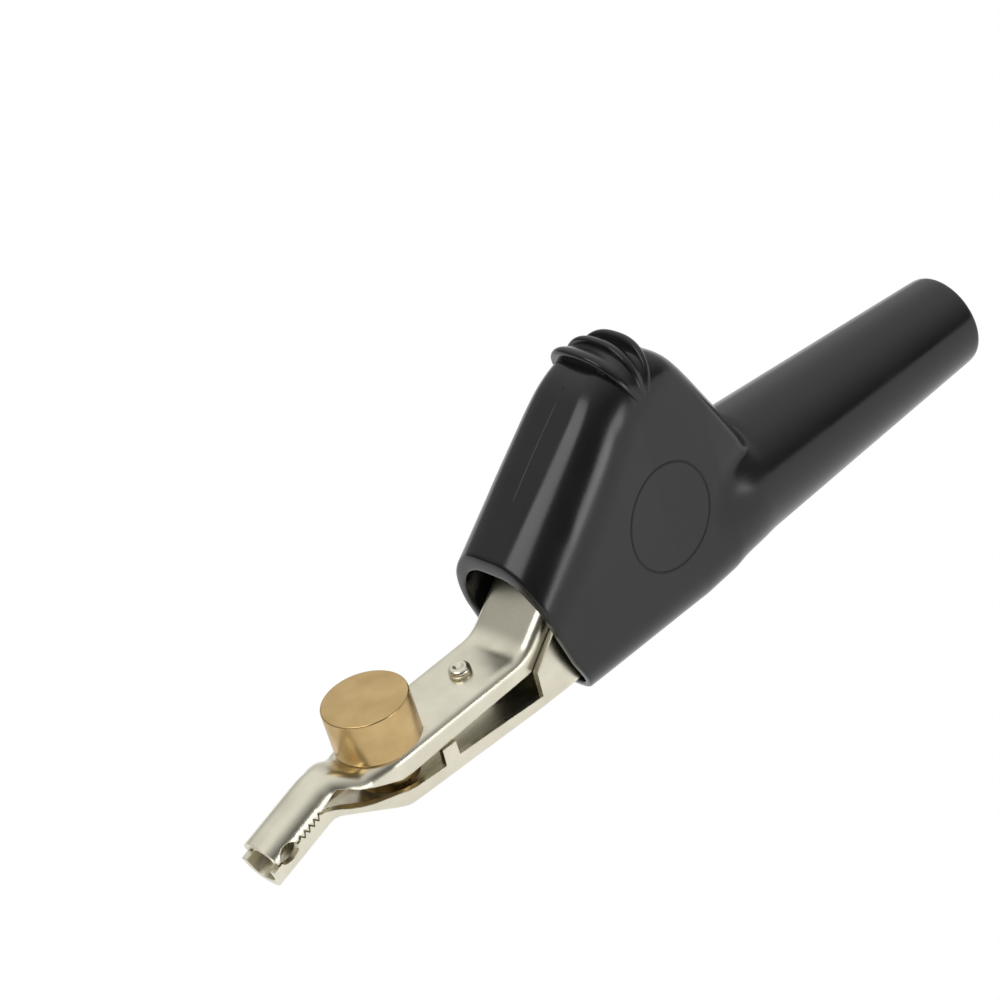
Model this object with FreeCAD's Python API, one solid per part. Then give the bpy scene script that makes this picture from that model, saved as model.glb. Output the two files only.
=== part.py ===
"""Angled test-lead crocodile clip with a soft insulating boot.

Millimetres, +Z up, nose towards -X, mirror-symmetric about Y = 0.
The clip lies on the flat belly of its boot at Z = 0, and X = 0 is half way along it.
Along X the places below run forward from the tail end of the boot, and the finished
pieces are then moved by half the overall length.
"""
import FreeCAD, Part
import math
import os

V = FreeCAD.Vector

# Places along the clip, each set out from its neighbour
TAIL_LENGTH = 35.2
PIN_TO_PEAK = 12.8
PIN_TO_MOUTH_TOP = 7.4
PIN_TO_PLATE_BEND = 8.8
PIN_TO_HANDLE_BEND = 0.5
PIN_TO_EAR_FRONT = 8.2
BEND_TO_SPIKE = 5.3
BEND_TO_TAB = 12.3
BEND_TO_BARREL = 17.35
BARREL_TO_TAPER = 1.15
PLATE_PAST_TAPER = 3.8
TAPER_LENGTH = 7.1
NOSE_REACH = 8.9
SCREW_TO_HUMP_REAR = 3.3
STRIP_PAST_SCREW = 5.0

# Sheet metal of the two jaws
SHEET = 0.75
JAW_WIDTH = 9.0
BEND_RADIUS = 1.2
SMALLEST_BEND = 0.15
BEND_STEP = 15.0
CORNER_STEPS = 4
FLATNESS = 1e-5
EAR_GAP = 0.12
JAW_GAP = 0.3

# Nose: two half tubes that close on a pin or stud
NOSE_RADIUS = 2.6
NOSE_FLAT = 0.3
NOSE_ANGLE = 18.5
TIP_Z = 3.45
SPLIT_RISE = 0.5
TOOTH_PITCH = 0.75
TOOTH_COUNT = 5
TOOTH_HEIGHT = 0.6
TEETH_FROM_TIP = 3.3
TEETH_END_GAP = 0.2
NOTCH_FROM_TIP = 1.7
NOTCH_LENGTH = 2.6
NOTCH_HEIGHT = 1.9
LOWER_NOSE_LEAD = 0.9
GRIP_RADIUS = 1.9
GRIP_LENGTH = 8.0
UPPER_CREST_LAG = 0.2
LOWER_CREST_LEAD = 0.4

# Upper jaw, along its top face
PLATE_BEND_Z = 8.57
PLATE_FRONT_Z = 7.36
STRIP_ANGLE = 42.0
HANDLE_ANGLE = 53.0
HANDLE_LENGTH = 12.3
HANDLE_WIDTH = 7.0
HANDLE_FLANGE = 1.9
UPPER_FLANGE = 2.75
UPPER_FLANGE_REAR = 2.3
UPPER_NOSE_SIDE = 1.7
TAPER_SIDE = 0.35
TAPER_SIDE_LENGTH = 1.2
TAPER_STEP = 1.5
UPPER_BENDS = [6.0, 2.5, 1.6, 5.0]

# Lower jaw, along its bottom face
FLOOR_Z = 1.0
FLOOR_RISE = 0.035
LOWER_FLANGE_TOP = 3.15
LOWER_NOSE_SIDE = [(-0.4, 2.1), (1.0, 1.25), (2.5, 0.7), (8.1, 0.0)]
TAB_WIDTH = 1.9
TAB_GAP = 0.1
TAB_LEAN = 0.2
EAR_STEP = 0.3
EAR_SHOULDER = 2.9
EAR_LEAN = 0.4
EAR_FOOT = 2.6
JOGGLE_LEAD = 0.5
JOGGLE_LENGTH = 2.4
REAR_NARROWING = 8.0
REAR_SIDE = 2.4
RAMP_LENGTH = 7.0
RAMP_SIDE = 2.2
STRIP_AHEAD_OF_SCREW = 5.0
STRIP_SIDE = 0.7
TERMINAL_Z = 5.6
WING_LENGTH = 2.6
WING_HEIGHT = 3.2
WING_INSET = 0.4
LOWER_BENDS = [3.0, 4.0, 6.0, 3.0]

# Hinge
PIN_Z = 9.6
PIN_RADIUS = 1.2
PIN_CLEARANCE = 0.05
PIN_HEAD_RADIUS = 2.1
PIN_HEAD_THICKNESS = 0.35
PIN_HEAD_EDGE = 0.15
EAR_RADIUS = 3.4
UPPER_EAR_LENGTH = 1.5
UPPER_NARROWING = 2.5

# Spring round the hinge pin
WIRE_RADIUS = 0.45
WIRE_SIDES = 8
COIL_RADIUS = 2.3
COIL_TURNS = 3.5
COIL_GAP = 0.1
COIL_STEPS = 16
SPRING_GAP = 0.2
UPPER_LEG = 6.0
LOWER_LEG = 10.0

# Brass barrel, bed and needles
BARREL_RADIUS = 4.75
BARREL_HEIGHT = 5.3
BARREL_CHAMFER = 0.3
BED_RADIUS = 3.3
BED_BOTTOM_Z = 2.95
BED_RECESS_RADIUS = 2.5
BED_RECESS_DEPTH = 1.5
SHANK_RADIUS = 1.9
SHANK_DEPTH = 2.6
NEEDLE_RADIUS = 0.32
NEEDLE_POINT = 0.7
NEEDLE_TIP_RADIUS = 0.05
NEEDLE_SIDES = 10
NEEDLE_CIRCLE = 1.6
NEEDLE_COUNT = 4
NEEDLE_INSET = 0.25
NEEDLE_ROOT = 1.6

# Piercing spike
SPIKE_RADIUS = 0.7
SPIKE_POINT = 2.4
SPIKE_TIP_RADIUS = 0.08
SPIKE_REACH = 4.3
SPIKE_COLLAR = 0.5
SPIKE_COLLAR_HEIGHT = 0.7
SPIKE_HEAD_RADIUS = 1.25
SPIKE_HEAD_HEIGHT = 0.55
SPIKE_HEAD_EDGE = 0.2
SPIKE_HEAD_TOP = 0.7

# Lead terminal
SCREW_RADIUS = 1.25
SCREW_CHAMFER = 0.3
SCREW_HEAD_RADIUS = 2.1
SCREW_HEAD_HEIGHT = 1.5
SCREW_HEAD_CHAMFER = 0.5
SCREW_LENGTH = 3.2
SCREW_SLOT = 0.6
SCREW_SLOT_DEPTH = 0.7
COLLAR_WALL = 0.7
COLLAR_HEIGHT = 1.0
WASHER_GAP = 0.5
WASHER_THICKNESS = 0.6
WASHER_WIDTH = 0.8

# Boot; the tables are (distance behind the hump's peak, value)
BOOT_SIDE_WALL = 1.15
BOOT_TOP_WALL = 1.7
BOOT_BELLY_WALL = 1.5
MOUTH_TOP_Z = 18.0
MOUTH_RIM = [(0.0, 5.4), (1.0, 4.8), (5.3, 2.9), (9.7, 1.5), (14.5, 0.45), (18.0, 0.0), (22.0, -0.3)]
HUMP_SLOPE = 39.8
HUMP_FALL = 60.0
HUMP_PEAK_RADIUS = 8.5
HUMP_REAR_Z = 14.786
HUMP_BELLY_WIDTHS = [(-25.8, 7.35), (-12.8, 7.3), (2.2, 7.1), (8.2, 7.2), (14.2, 6.2)]
HUMP_TOP_WIDTHS = [(-25.8, 7.2), (-19.8, 7.1), (-12.8, 6.6), (-6.8, 6.0), (-0.8, 5.5), (7.2, 5.4),
                   (14.2, 5.5)]
HUMP_BELLY = [(3.2, -0.1), (9.2, 0.5), (14.2, 1.4)]
HUMP_TOP_EDGE = [(-17.8, 5.6), (-5.8, 5.0), (0.2, 4.2), (4.2, 2.8), (8.2, 3.0), (14.2, 5.0)]
HUMP_BELLY_EDGE = [(-15.8, 4.2), (4.2, 5.0), (14.2, 5.8)]
HUMP_INNER_EDGE = 1.6
HUMP_STATIONS = [-27.2, -19.8, -12.8, -6.8, -4.3, -2.3, -0.3, 1.7, 3.7, 5.7, 7.7, 10.2, 12.7]
TAIL_Z = 8.4
TAIL_END_RADIUS = 5.56
TAIL_TAPER = 0.05644
TAIL_RIM = 0.8
TAIL_OVERLAP = 5.8
TAIL_SHOULDER = 1.6
TAIL_SIDES = 32
ROOM_RADIUS = 5.5
ROOM_FLARE = 0.4
ROOM_LENGTH = 8.0
ROOM_PAST_STRIP = 0.5
THROAT_LENGTH = 8.0
LEAD_BORE_RADIUS = 2.6
RING_BEHIND_PEAK = -0.2
RING_Z = 13.7
RING_RADIUS = 6.0
RING_WIDTH = 0.35
RING_DEPTH = 0.25
RIDGE_BEHIND_PEAK = 0.6
RIDGE_Z = 25.8
RIDGES = [(-17.4, 8.7), (7.5, 7.8), (31.0, 7.8)]
RIDGE_THICKNESS = 1.3
RIDGE_HALF_WIDTH = 5.95
RIDGE_ROOT = 4.0
RIDGE_STEPS = 14


def between(table, x):
    """Value at x in a table of (x, value) pairs that rises along x."""
    if x <= table[0][0]:
        return table[0][1]
    for (x0, v0), (x1, v1) in zip(table, table[1:]):
        if x <= x1:
            return v0 + (v1 - v0) * (x - x0) / (x1 - x0)
    return table[-1][1]


def bent_path(corners, radii):
    """Stations (x, z, direction) along a bent strip: straight runs joined by arcs."""
    runs = [V(b[0] - a[0], 0, b[1] - a[1]).normalize() for a, b in zip(corners, corners[1:])]
    stations = [(corners[0][0], corners[0][1], runs[0])]
    for corner, radius, before, after in zip(corners[1:-1], radii, runs, runs[1:]):
        turn = math.atan2(before.x * after.z - before.z * after.x, before.dot(after))
        set_back = radius * math.tan(abs(turn) / 2)
        start = V(corner[0], 0, corner[1]) - before * set_back
        side = V(-before.z, 0, before.x) * math.copysign(1, turn)
        centre = start + side * radius
        count = max(2, math.ceil(abs(math.degrees(turn)) / BEND_STEP))
        for i in range(count + 1):
            angle = -math.degrees(turn) * i / count
            spin = FreeCAD.Rotation(V(0, 1, 0), angle)
            point = centre + spin.multVec(start - centre)
            stations.append((point.x, point.z, spin.multVec(before)))
    stations.append((corners[-1][0], corners[-1][1], runs[-1]))
    return stations


def rounded_corner(centre, start, end):
    """Points round a corner's arc, from its first tangent point to its last."""
    first = start - centre
    last = end - centre
    whole = first.getAngle(last)
    points = []
    for i in range(CORNER_STEPS + 1):
        share = i / CORNER_STEPS
        turned_part = first * math.sin((1 - share) * whole) + last * math.sin(share * whole)
        points.append(centre + turned_part / math.sin(whole))
    return points


def closed_wire(points):
    return Part.makePolygon(points + points[:1])


def flat_face(points):
    return Part.Face(closed_wire(points))


def skin(loops):
    """Solid through closed loops of points, with flat faces from each loop to the next."""
    faces = [flat_face(loops[0]), flat_face(loops[-1])]
    for near, far in zip(loops, loops[1:]):
        for i in range(len(near)):
            a, b, c, d = near[i - 1], near[i], far[i], far[i - 1]
            normal = (b - a).cross(c - a).normalize()
            if abs(normal.dot(d - a)) < FLATNESS:
                faces.append(flat_face([a, b, c, d]))
            else:
                faces.append(flat_face([a, b, c]))
                faces.append(flat_face([a, c, d]))
    solid = Part.makeSolid(Part.makeShell(faces))
    if solid.Volume < 0:
        solid.reverse()
    return solid


def channel_section(station, inward, half_width, depth, corner, inset):
    """One U-shaped section: flat web, rounded corners and two straight sides."""
    x, z, run = station
    down = V(-run.z, 0, run.x) * inward
    w = half_width - inset
    r = max(corner - inset, SMALLEST_BEND)

    def at(y, s):
        return V(x + down.x * s, y, z + down.z * s)

    left = rounded_corner(at(r - w, inset + r), at(-w, inset + r), at(r - w, inset))
    right = rounded_corner(at(w - r, inset + r), at(w - r, inset), at(w, inset + r))
    return [at(-w, depth + inset)] + left + right + [at(w, depth + inset)]


def channel(stations, inward, widths, depths, corners):
    """Sheet-metal channel along a bent path, open on its inward side."""
    skins = []
    for inset in (0.0, SHEET):
        loops = []
        for station in stations:
            x = station[0]
            half_width = between(widths, x)
            depth = between(depths, x)
            corner = between(corners, x)
            loops.append(channel_section(station, inward, half_width, depth, corner, inset))
        skins.append(skin(loops))
    return skins[0].cut(skins[1])


def prism(points, half_width):
    """Side outline (x, z) as a block across Y."""
    return flat_face([V(x, -half_width, z) for x, z in points]).extrude(V(0, 2 * half_width, 0))


def turned(points, origin, axis):
    """Solid of revolution: points are (radius, distance along the axis)."""
    solid = flat_face([V(r, 0, h) for r, h in points]).revolve(V(0, 0, 0), V(0, 0, 1), 360)
    solid.Placement = FreeCAD.Placement(origin, FreeCAD.Rotation(V(0, 0, 1), axis))
    return solid


def many_sided(points, origin, axis, sides):
    """Turned shape with flat sides: points are (radius, distance along the axis)."""
    loops = []
    for radius, along in points:
        angles = [2 * math.pi * i / sides for i in range(sides)]
        loops.append([V(radius * math.cos(a), radius * math.sin(a), along) for a in angles])
    solid = skin(loops)
    solid.Placement = FreeCAD.Placement(origin, FreeCAD.Rotation(V(0, 0, 1), axis))
    return solid


def rod(radius, start, axis, length):
    return Part.makeCylinder(radius, length, start, axis)


def across(radius, x, z, half_width):
    """Cylinder along Y through a point of the side view."""
    return rod(radius, V(x, -half_width, z), V(0, 1, 0), 2 * half_width)


def save(name, shape):
    moved = shape.copy()
    moved.translate(V(HALF_LENGTH, 0, 0))
    solids = moved.Solids
    result = solids[0] if len(solids) == 1 else Part.makeCompound(solids)
    result.exportStep("parts/" + name + ".step")


# Directions and points that follow from the sizes
HUMP_REAR_X = -TAIL_LENGTH
PEAK_RISE = (PIN_TO_PEAK + PIN_TO_MOUTH_TOP) * math.tan(math.radians(HUMP_SLOPE))
PEAK_CENTRE_Z = MOUTH_TOP_Z + PEAK_RISE - HUMP_PEAK_RADIUS / math.cos(math.radians(HUMP_SLOPE))
FALL_TOP_Z = PEAK_CENTRE_Z + HUMP_PEAK_RADIUS / math.cos(math.radians(HUMP_FALL))
PEAK_X = HUMP_REAR_X - (FALL_TOP_Z - HUMP_REAR_Z) / math.tan(math.radians(HUMP_FALL))
PIN_X = PEAK_X - PIN_TO_PEAK
MOUTH_TOP_X = PIN_X - PIN_TO_MOUTH_TOP
PLATE_BEND_X = PIN_X - PIN_TO_PLATE_BEND
HANDLE_BEND_X = PIN_X - PIN_TO_HANDLE_BEND
EAR_FRONT_X = PIN_X - PIN_TO_EAR_FRONT
SPIKE_X = PLATE_BEND_X - BEND_TO_SPIKE
TAB_X = PLATE_BEND_X - BEND_TO_TAB
BARREL_X = PLATE_BEND_X - BEND_TO_BARREL
TAPER_START_X = BARREL_X - BARREL_TO_TAPER
PLATE_FRONT_X = TAPER_START_X - PLATE_PAST_TAPER
TAPER_END_X = TAPER_START_X - TAPER_LENGTH
CREST_X = TAPER_END_X + UPPER_CREST_LAG
LOWER_CREST_X = TAPER_END_X - LOWER_CREST_LEAD
TIP_X = TAPER_END_X - NOSE_REACH
TERMINAL_X = HUMP_REAR_X - SCREW_TO_HUMP_REAR
STRIP_END_X = TERMINAL_X + STRIP_PAST_SCREW
NOSE_RUN = V(math.cos(math.radians(NOSE_ANGLE)), 0, math.sin(math.radians(NOSE_ANGLE)))
NOSE_UP = V(-NOSE_RUN.z, 0, NOSE_RUN.x)
TIP = V(TIP_X, 0, TIP_Z)
TIP_TOP = TIP + NOSE_UP * NOSE_RADIUS
LOWER_TIP = TIP + NOSE_UP * (SPLIT_RISE - JAW_GAP / 2) - NOSE_RUN * LOWER_NOSE_LEAD
HALF_LENGTH = -LOWER_TIP.x / 2


def nose_point(from_tip, rise):
    """Point of the side view at a distance behind the tip and above the nose's axis."""
    p = TIP + NOSE_RUN * from_tip + NOSE_UP * rise
    return (p.x, p.z)


def plate_z(x):
    slope = (PLATE_BEND_Z - PLATE_FRONT_Z) / (PLATE_BEND_X - PLATE_FRONT_X)
    return PLATE_BEND_Z + slope * (x - PLATE_BEND_X)


def floor_z(x):
    return FLOOR_Z + FLOOR_RISE * (x - TAPER_START_X)


def nose_x_to_z(x, rise):
    """Height of the line that runs parallel to the nose's axis."""
    start = TIP + NOSE_UP * rise
    return start.z + (x - start.x) * NOSE_RUN.z / NOSE_RUN.x


PLATE_NORMAL = V(plate_z(0) - plate_z(1), 0, 1).normalize()
STRIP_RUN = V(math.cos(math.radians(STRIP_ANGLE)), 0, math.sin(math.radians(STRIP_ANGLE)))
HANDLE_RUN = V(math.cos(math.radians(HANDLE_ANGLE)), 0, math.sin(math.radians(HANDLE_ANGLE)))
HANDLE_BEND_Z = PLATE_BEND_Z + (HANDLE_BEND_X - PLATE_BEND_X) * STRIP_RUN.z / STRIP_RUN.x
HANDLE_BEND = V(HANDLE_BEND_X, 0, HANDLE_BEND_Z)
HANDLE_END = HANDLE_BEND + HANDLE_RUN * HANDLE_LENGTH
HALF_JAW = JAW_WIDTH / 2
HALF_EARS = HALF_JAW + EAR_GAP + SHEET
WASHER_RADIUS = SCREW_RADIUS + WASHER_WIDTH
HALF_STRIP = WASHER_RADIUS + WASHER_GAP + SHEET
SPLIT_END = TEETH_FROM_TIP + TOOTH_PITCH * TOOTH_COUNT + TEETH_END_GAP

# Reach of the cutting blocks, well past every piece
PAST_JAWS = 2 * HALF_EARS
PAST_BOOT = -2 * MOUTH_TOP_X


def teeth_line(rise):
    """Edge of a nose half from the tip to the end of its teeth."""
    points = [nose_point(-2 * LOWER_NOSE_LEAD, rise), nose_point(TEETH_FROM_TIP, rise)]
    for i in range(TOOTH_COUNT):
        start = TEETH_FROM_TIP + i * TOOTH_PITCH
        points.append(nose_point(start + TOOTH_PITCH / 2, rise + TOOTH_HEIGHT / 2))
        low = rise - TOOTH_HEIGHT / 2 if i < TOOTH_COUNT - 1 else rise
        points.append(nose_point(start + TOOTH_PITCH, low))
    points.append(nose_point(SPLIT_END, rise))
    return points


def notch():
    """Oval window through both sides of the nose."""
    cx, cz = nose_point(NOTCH_FROM_TIP, SPLIT_RISE)
    oval = Part.Ellipse(V(0, 0, 0), NOTCH_LENGTH / 2, NOTCH_HEIGHT / 2).toShape()
    block = Part.Face(Part.Wire(oval)).extrude(V(0, 0, 2 * PAST_JAWS))
    block.translate(V(0, 0, -PAST_JAWS))
    block.rotate(V(0, 0, 0), V(1, 0, 0), 90)
    block.rotate(V(0, 0, 0), V(0, 1, 0), -NOSE_ANGLE)
    block.translate(V(cx, 0, cz))
    return block


def grip():
    """Round channel along the nose that takes a pin or stud."""
    lead = 3 * LOWER_NOSE_LEAD
    return rod(GRIP_RADIUS, TIP - NOSE_RUN * lead, NOSE_RUN, GRIP_LENGTH + lead)


def pin_bore():
    return across(PIN_RADIUS + PIN_CLEARANCE, PIN_X, PIN_Z, PAST_JAWS)


def plate_hole(x, radius):
    """Hole square through the plate of the upper jaw."""
    start = V(x, 0, plate_z(x)) - PLATE_NORMAL * 2 * SHEET
    return rod(radius, start, PLATE_NORMAL, 3 * SHEET)


def upper_jaw():
    """Plate, raised strip and thumb handle in one stamping, with the nose's upper half."""
    corners = [
        (HANDLE_END.x, HANDLE_END.z),
        (HANDLE_BEND_X, HANDLE_BEND_Z),
        (PLATE_BEND_X, PLATE_BEND_Z),
        (PLATE_FRONT_X, PLATE_FRONT_Z),
        (CREST_X, nose_x_to_z(CREST_X, NOSE_RADIUS)),
        (TIP_TOP.x, TIP_TOP.z),
    ]
    ear_rear = HANDLE_BEND_X + UPPER_EAR_LENGTH
    narrow = ear_rear + UPPER_NARROWING
    deep = 3 * EAR_RADIUS
    shallow = UPPER_FLANGE + BEND_RADIUS
    widths = [(TAPER_END_X, NOSE_RADIUS), (TAPER_START_X, HALF_JAW), (ear_rear, HALF_JAW),
              (narrow, HANDLE_WIDTH / 2)]
    depths = [(TAPER_END_X, NOSE_RADIUS + TOOTH_HEIGHT), (TAPER_START_X, shallow),
              (PLATE_BEND_X - SHEET, shallow), (PLATE_BEND_X + SHEET, deep), (ear_rear, deep), (narrow, shallow)]
    rounds = [(TAPER_END_X, NOSE_RADIUS - NOSE_FLAT), (TAPER_START_X, BEND_RADIUS)]
    places = [TAPER_START_X, PLATE_BEND_X - 4 * SHEET, ear_rear, narrow]
    blank = channel(with_stations(bent_path(corners, UPPER_BENDS), places), 1, widths, depths, rounds)
    under = V(0, 1, 0).cross(HANDLE_RUN) * HANDLE_FLANGE
    handle_low = HANDLE_BEND + under + HANDLE_RUN * UPPER_NARROWING
    handle_far = HANDLE_END + under + HANDLE_RUN * 2 * HANDLE_FLANGE
    keep = prism(
        teeth_line(SPLIT_RISE + JAW_GAP / 2)
        + [
            (TAPER_END_X, nose_x_to_z(TAPER_END_X, NOSE_RADIUS) - UPPER_NOSE_SIDE),
            (TAPER_END_X + TAPER_SIDE_LENGTH, PLATE_FRONT_Z - TAPER_SIDE),
            (PLATE_FRONT_X + JOGGLE_LEAD, PLATE_FRONT_Z - TAPER_STEP),
            (TAPER_START_X, plate_z(TAPER_START_X) - UPPER_FLANGE),
            (PLATE_BEND_X, PLATE_BEND_Z - UPPER_FLANGE_REAR),
            (PLATE_BEND_X + UPPER_FLANGE_REAR, PLATE_BEND_Z - UPPER_FLANGE_REAR + EAR_LEAN),
            (PIN_X - EAR_RADIUS * math.sin(math.radians(30)), PIN_Z - EAR_RADIUS * math.cos(math.radians(30))),
            (PIN_X + EAR_RADIUS * math.cos(math.radians(30)), PIN_Z - EAR_RADIUS * math.sin(math.radians(30))),
            (handle_low.x, handle_low.z),
            (handle_far.x, handle_far.z),
            (TIP_TOP.x, handle_far.z),
            (TIP_TOP.x - NOSE_REACH, TIP_Z),
        ], PAST_JAWS)
    keep = keep.fuse(across(EAR_RADIUS, PIN_X, PIN_Z, PAST_JAWS))
    jaw = blank.common(keep).cut(pin_bore())
    jaw = jaw.cut(notch()).cut(grip())
    jaw = jaw.cut(plate_hole(BARREL_X, SHANK_RADIUS))
    return jaw.cut(plate_hole(SPIKE_X, SPIKE_RADIUS))


def with_stations(stations, places):
    """The same path with extra sections at the given places along X."""
    result = []
    for here, there in zip(stations, stations[1:]):
        result.append(here)
        for x in sorted(set(places), reverse=True):
            if there[0] + PIN_CLEARANCE < x < here[0] - PIN_CLEARANCE:
                share = (x - here[0]) / (there[0] - here[0])
                result.append((x, here[1] + (there[1] - here[1]) * share, here[2]))
    result.append(stations[-1])
    return result


def lower_jaw():
    """Floor channel with the hinge ears, the nose's lower half and the lead's terminal strip."""
    strip_front = TERMINAL_X - STRIP_AHEAD_OF_SCREW
    ramp_foot = strip_front - RAMP_LENGTH
    corners = [
        (STRIP_END_X, TERMINAL_Z - SHEET),
        (strip_front, TERMINAL_Z - SHEET),
        (ramp_foot, floor_z(ramp_foot)),
        (TAPER_START_X, FLOOR_Z),
        (LOWER_CREST_X, nose_x_to_z(LOWER_CREST_X, -NOSE_RADIUS)),
        nose_point(-LOWER_NOSE_LEAD, -NOSE_RADIUS),
    ]
    ear_end = PIN_X + EAR_RADIUS + EAR_FOOT
    narrow = ear_end + REAR_NARROWING
    joggle = EAR_FRONT_X - JOGGLE_LEAD
    wing_front = STRIP_END_X - WING_INSET - WING_LENGTH
    deep = PIN_Z + EAR_RADIUS + FLOOR_Z
    shallow = REAR_SIDE + BEND_RADIUS
    low_side = LOWER_FLANGE_TOP + BEND_RADIUS
    widths = [(TAPER_END_X, NOSE_RADIUS), (TAPER_START_X, HALF_JAW), (joggle, HALF_EARS),
              (ear_end, HALF_EARS), (narrow, HALF_STRIP)]
    depths = [(TAPER_END_X, NOSE_RADIUS + BEND_RADIUS), (TAPER_START_X, low_side),
              (joggle - JOGGLE_LENGTH, low_side), (joggle - JOGGLE_LEAD, deep), (ear_end, deep), (ear_end + JOGGLE_LEAD, shallow),
              (wing_front - 2 * JOGGLE_LEAD, shallow), (wing_front - JOGGLE_LEAD, 2 * WING_HEIGHT)]
    rounds = [(TAPER_END_X, NOSE_RADIUS - NOSE_FLAT), (TAPER_START_X, BEND_RADIUS)]
    places = [x for x, _ in widths + depths if x > TAPER_END_X]
    blank = channel(with_stations(bent_path(corners, LOWER_BENDS), places), -1, widths, depths, rounds)
    tab_top = plate_z(TAB_X) - UPPER_FLANGE - TAB_GAP
    ear_foot_z = LOWER_FLANGE_TOP + EAR_STEP
    strip_edge = TERMINAL_Z + STRIP_SIDE
    below = -TERMINAL_Z
    keep = prism(
        teeth_line(SPLIT_RISE - JAW_GAP / 2)
        + [(TAPER_END_X + along, LOWER_FLANGE_TOP + rise) for along, rise in LOWER_NOSE_SIDE]
        + [
            (TAB_X - TAB_WIDTH / 2, LOWER_FLANGE_TOP),
            (TAB_X - TAB_WIDTH / 2, tab_top),
            (TAB_X + TAB_WIDTH / 2, tab_top + TAB_GAP),
            (TAB_X + TAB_WIDTH / 2 + TAB_LEAN, ear_foot_z),
            (EAR_FRONT_X, ear_foot_z),
            (EAR_FRONT_X - EAR_LEAN, ear_foot_z + EAR_SHOULDER),
            (PIN_X - EAR_RADIUS * math.sin(math.radians(45)), PIN_Z + EAR_RADIUS * math.cos(math.radians(45))),
            (PIN_X + EAR_RADIUS, PIN_Z),
            (ear_end, floor_z(ear_end) + REAR_SIDE),
            (ramp_foot, floor_z(ramp_foot) + RAMP_SIDE),
            (strip_front, strip_edge),
            (wing_front, strip_edge),
            (wing_front, TERMINAL_Z + WING_HEIGHT),
            (STRIP_END_X - WING_INSET, TERMINAL_Z + WING_HEIGHT),
            (STRIP_END_X - WING_INSET, strip_edge),
            (STRIP_END_X + SHEET, strip_edge),
            (STRIP_END_X + SHEET, below),
            (TIP_X - NOSE_REACH, below),
        ], PAST_JAWS)
    keep = keep.fuse(across(EAR_RADIUS, PIN_X, PIN_Z, PAST_JAWS))
    jaw = blank.common(keep).cut(pin_bore())
    jaw = jaw.cut(notch()).cut(grip())
    collar_foot = V(TERMINAL_X, 0, TERMINAL_Z - SHEET - COLLAR_HEIGHT)
    jaw = jaw.fuse(rod(SCREW_RADIUS + COLLAR_WALL, collar_foot, V(0, 0, 1), COLLAR_HEIGHT + SHEET / 2))
    return jaw.cut(rod(SCREW_RADIUS, V(TERMINAL_X, 0, 0), V(0, 0, 1), 2 * TERMINAL_Z))


def hinge_pin():
    """Rivet through the four ears with two low domed heads."""
    out = HALF_EARS
    head = out + PIN_HEAD_THICKNESS
    edge = out + PIN_HEAD_EDGE
    r = PIN_HEAD_RADIUS
    half = [(PIN_RADIUS, out), (r, out), (r, edge), (r * 0.7, head), (0, head)]
    points = [(r, -h) for r, h in reversed(half)] + half
    return turned(points, V(PIN_X, 0, PIN_Z), V(0, 1, 0))


def wire_loop(centre, run, out):
    """Section of the spring's wire, square to its run."""
    side = run.cross(out)
    points = []
    for i in range(WIRE_SIDES):
        angle = 2 * math.pi * i / WIRE_SIDES
        points.append(centre + (out * math.cos(angle) + side * math.sin(angle)) * WIRE_RADIUS)
    return points


def torsion_spring():
    """Coil round the hinge pin with one leg under the thumb handle and one on the floor."""
    pitch = 2 * WIRE_RADIUS + COIL_GAP
    back = SHEET + WIRE_RADIUS + SPRING_GAP
    pin = V(PIN_X, 0, PIN_Z)
    lower_x = PIN_X + LOWER_LEG
    first = HANDLE_BEND + HANDLE_RUN * UPPER_LEG + V(0, 1, 0).cross(HANDLE_RUN) * back - pin
    last = V(lower_x, 0, floor_z(lower_x) + back) - pin
    start = math.atan2(first.z, first.x) + math.acos(COIL_RADIUS / first.Length)
    end = math.atan2(last.z, last.x) - math.acos(COIL_RADIUS / last.Length)
    whole = 2 * math.pi
    turns = (end - start) / whole + round(COIL_TURNS - (end - start) / whole)
    height = pitch * turns
    steps = math.ceil(turns * COIL_STEPS)
    rises = V(0, -pitch / whole, 0)
    loops = []
    for i in range(steps + 1):
        angle = start + turns * whole * i / steps
        out = V(math.cos(angle), 0, math.sin(angle))
        run = (V(-math.sin(angle), 0, math.cos(angle)) * COIL_RADIUS + rises).normalize()
        centre = pin + out * COIL_RADIUS + V(0, height / 2 - height * i / steps, 0)
        if i == 0:
            leg = math.sqrt(first.Length ** 2 - COIL_RADIUS ** 2)
            loops.append(wire_loop(centre - run * leg, run, out))
        loops.append(wire_loop(centre, run, out))
        if i == steps:
            leg = math.sqrt(last.Length ** 2 - COIL_RADIUS ** 2)
            loops.append(wire_loop(centre + run * leg, run, out))
    return skin(loops)


def barrel_frame():
    """Foot of the barrel on the plate, and the plate's upward direction."""
    return V(BARREL_X, 0, plate_z(BARREL_X)), PLATE_NORMAL


def nail_barrel():
    """Brass barrel on the plate, with a blind hole from below for the bed's shank."""
    foot, up = barrel_frame()
    r = BARREL_RADIUS
    c = BARREL_CHAMFER
    h = BARREL_HEIGHT
    points = [(SHANK_RADIUS, 0), (r - c, 0), (r, c), (r, h - c), (r - c, h), (0, h), (0, SHANK_DEPTH),
              (SHANK_RADIUS, SHANK_DEPTH)]
    return turned(points, foot, up)


def needle_places():
    places = [(0.0, 0.0)]
    for i in range(NEEDLE_COUNT):
        angle = math.radians(45 + 360 * i / NEEDLE_COUNT)
        places.append((NEEDLE_CIRCLE * math.cos(angle), NEEDLE_CIRCLE * math.sin(angle)))
    return places


def bed_height():
    return plate_z(BARREL_X) - SHEET - BED_BOTTOM_Z


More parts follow.
